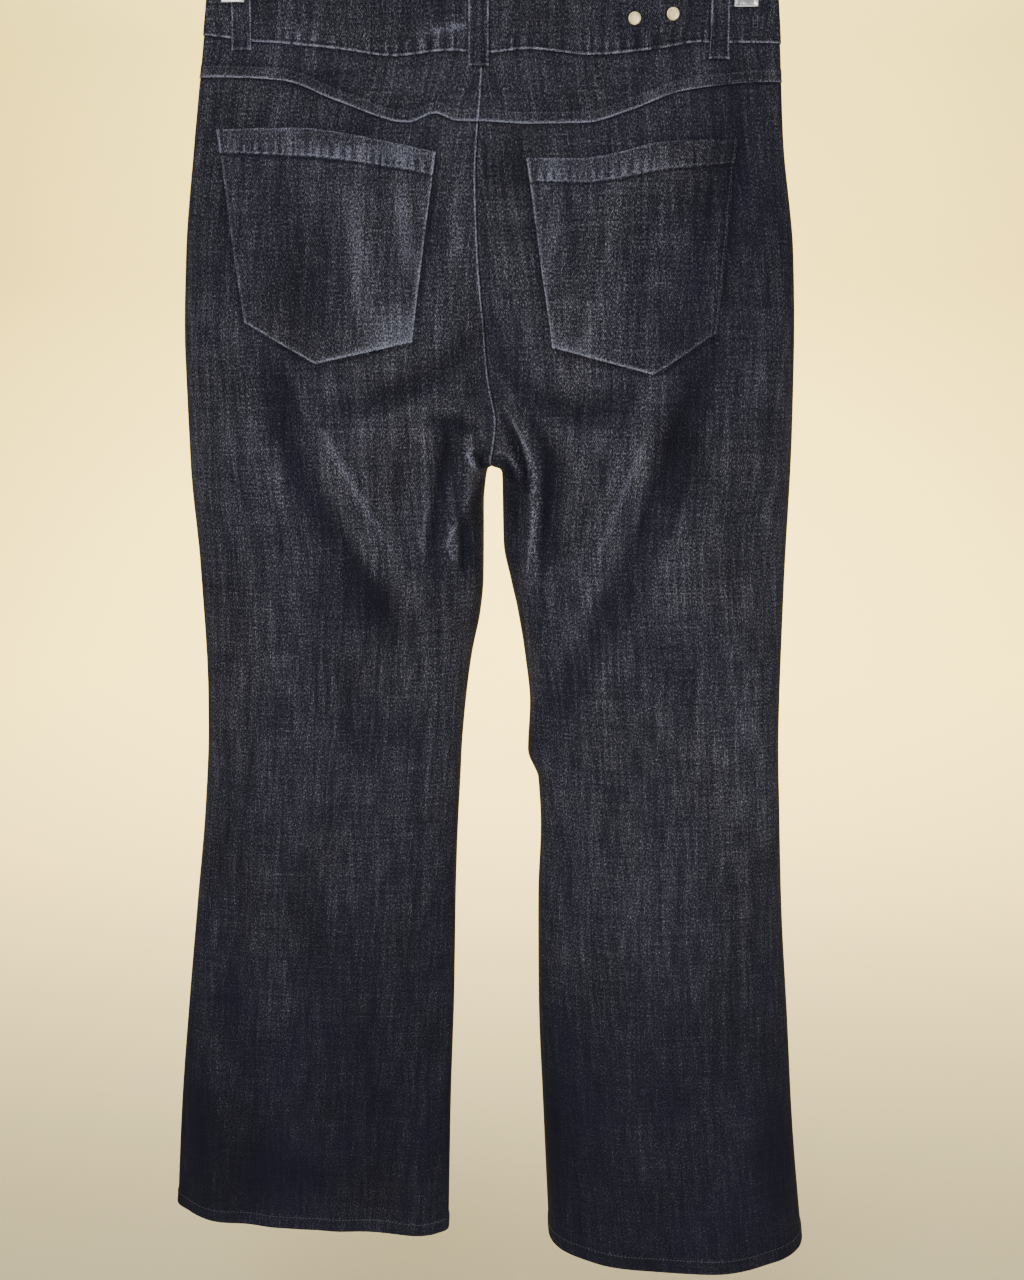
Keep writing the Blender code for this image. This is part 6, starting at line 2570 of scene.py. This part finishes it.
@dataclass
class Studio:
    """A pale floor that sweeps up behind, soft lights and the camera.

    `tones` are the sweep's colours along its run, from the front floor to the top of the
    wall: a pale floor turning cream, with painted light, brightest where the floor turns up into
    the wall.
    """

    floor_z: float = -1.42
    sweep_y: float = 2.6
    sweep_radius: float = 1.2
    half_width: float = 7.0
    camera_place: Triple = (0.0697, -1.046, -0.380)
    camera_turn: Triple = (76.73, 0.0, 2.73)
    lens: float = 36.5625
    run_length: float = 6.0
    front_y: float = -8.0
    wall_top_z: float = 4.0
    sensor: float = 36.0
    surround: tuple[float, ...] = (1.0, 0.985, 0.96, 1.0)
    surround_strength: float = 0.5
    tones: tuple[tuple[float, Triple], ...] = (
        (0.0, (0.62, 0.60, 0.56)),
        (0.03, (0.57, 0.51, 0.32)),
        (0.075, (0.60, 0.525, 0.29)),
        (0.142, (0.64, 0.52, 0.23)),
        (0.255, (0.77, 0.58, 0.18)),
        (0.38, (0.82, 0.61, 0.14)),
        (0.59, (0.65, 0.48, 0.10)),
        (0.73, (0.43, 0.32, 0.065)),
        (1.0, (0.42, 0.33, 0.12)),
    )

    def build(self) -> None:
        """The floor, the lights and the camera."""
        self.floor()
        self.lights()
        self.camera()

    def floor(self) -> None:
        """A plain sweep: a floor that turns up into a wall."""
        profile = [(self.front_y, self.floor_z)]
        bend_y, bend_z = self.sweep_y - self.sweep_radius, self.floor_z + self.sweep_radius
        for angle in np.linspace(-math.pi / 2, 0.0, 25):
            y = bend_y + self.sweep_radius * math.cos(angle)
            profile.append((y, bend_z + self.sweep_radius * math.sin(angle)))
        profile.append((self.sweep_y, self.wall_top_z))
        points = [(x, y, z) for x in (-self.half_width, self.half_width) for y, z in profile]
        count = len(profile)
        faces = [(i, i + 1, count + i + 1, count + i) for i in range(count - 1)]
        mesh = bpy.data.meshes.new("sweep")
        mesh.from_pydata(points, [], faces)
        mesh.shade_smooth()
        shading = Shading("sweep")
        place = shading.node("ShaderNodeTexCoord", None, None, "Object")
        height = shading.node("ShaderNodeSeparateXYZ", None, {0: place}, 2)
        depth = shading.node("ShaderNodeSeparateXYZ", None, {0: place}, 1)
        run = (height - self.floor_z + depth) / self.run_length
        # The ramp paints light on the sweep: brightest where the floor turns up, darker up the
        # wall.
        colour = shading.node("ShaderNodeValToRGB", {"stops": self.tones}, {0: run})
        shading.feed("Base Color", colour)
        shading.feed("Roughness", 0.9)
        mesh.materials.append(shading.material)
        sweep = bpy.data.objects.new("sweep", mesh)
        bpy.context.scene.collection.objects.link(sweep)

    def lights(self) -> None:
        """Soft lamps for both faces of the jeans, the floor and the wall, and a pale surround."""
        world = bpy.data.worlds.new("surround")
        world.use_nodes = True
        surround = world.node_tree.nodes["Background"]
        surround.inputs["Color"].default_value = self.surround
        surround.inputs["Strength"].default_value = self.surround_strength
        bpy.context.scene.world = world
        for row in LAMPS:
            lamp = bpy.data.lights.new(row.name, "AREA")
            lamp.shape = "RECTANGLE"
            lamp.size, lamp.size_y = row.size
            lamp.energy = row.power
            lamp.spread = math.radians(row.spread)
            lamp.color = row.colour
            self.hold(row.name, lamp, row.place, row.turn)

    def hold(self, name: str, data: bpy.types.ID, place: Triple, turn: Triple) -> Piece:
        """An object that holds a lamp or the camera at a place, turned by these degrees.

        Args:
            name: The object's name.
            data: The lamp or the camera.
            place: Where it stands, in metres.
            turn: Its turn, in degrees.

        Returns:
            The object.
        """
        holder = bpy.data.objects.new(name, data)
        holder.location = place
        holder.rotation_euler = [math.radians(angle) for angle in turn]
        bpy.context.scene.collection.objects.link(holder)
        return holder

    def camera(self) -> None:
        """The camera at the photograph's angle."""
        lens = bpy.data.cameras.new("camera")
        lens.lens = self.lens
        lens.sensor_width = self.sensor
        holder = self.hold("camera", lens, self.camera_place, self.camera_turn)
        bpy.context.scene.camera = holder


LOOPS = (
    ("belt_loop_centre_back", -4 * MM, Face.BACK, 9 * MM),
    ("belt_loop_back_left", -182.4 * MM, Face.BACK, 8 * MM),
    ("belt_loop_back_right", 172.6 * MM, Face.BACK, 12 * MM),
    ("belt_loop_front_left", -128 * MM, Face.FRONT, 9 * MM),
    ("belt_loop_front_right", 128 * MM, Face.FRONT, 9 * MM),
)
BAND_LIFT = 0.8 * MM
RIVET = StudKind.FLAT_RIVET
POCKET = StudKind.POCKET_RIVET
STUDS = (
    ("waistband_rivet_inner", Side.RIGHT, Face.BACK, 0.1102, -0.1562, BAND_LIFT, RIVET),
    ("waistband_rivet_outer", Side.RIGHT, Face.BACK, 0.1381, -0.1532, BAND_LIFT, RIVET),
    ("front_pocket_rivet_side_left", Side.LEFT, Face.FRONT, -0.213, -0.255, 0.0, POCKET),
    ("front_pocket_rivet_side_right", Side.RIGHT, Face.FRONT, 0.213, -0.255, 0.0, POCKET),
    ("front_pocket_rivet_top_left", Side.LEFT, Face.FRONT, -0.107, -0.192, 0.0, POCKET),
    ("front_pocket_rivet_top_right", Side.RIGHT, Face.FRONT, 0.107, -0.197, 0.0, POCKET),
    ("waist_button", Side.RIGHT, Face.FRONT, 0.013, -0.167, BAND_LIFT, StudKind.BUTTON),
)


def main() -> None:
    """Builds the sub-assemblies in order."""
    logging.basicConfig(level=logging.INFO, format="%(name)s: %(message)s")
    Studio().build()
    finishes = Wardrobe.build()
    sewing = Sewing(finishes)
    for side in Side:
        for face in Face:
            show(LegPanel(side, face, finishes).build())
        show(Yoke(side, finishes).build())
        show(BackPocket(side, finishes, sewing).build())
        show(PocketFacing(side, finishes).build())
        show(Waistband(side, finishes, sewing).build())
        for piece in SeamStitches(side, sewing).build():
            show(piece)
    for name, x, face, tail in LOOPS:
        show(BeltLoop(name, x, face, tail, finishes, sewing).build())
    show(Fly(finishes, sewing).build())
    for node, side, face, x, z, lift, kind in STUDS:
        show(Stud(node, side, face, x, z, lift, kind, finishes).build())
    for piece in Hanger(finishes).build():
        show(piece)


if __name__ == "__main__":
    main()
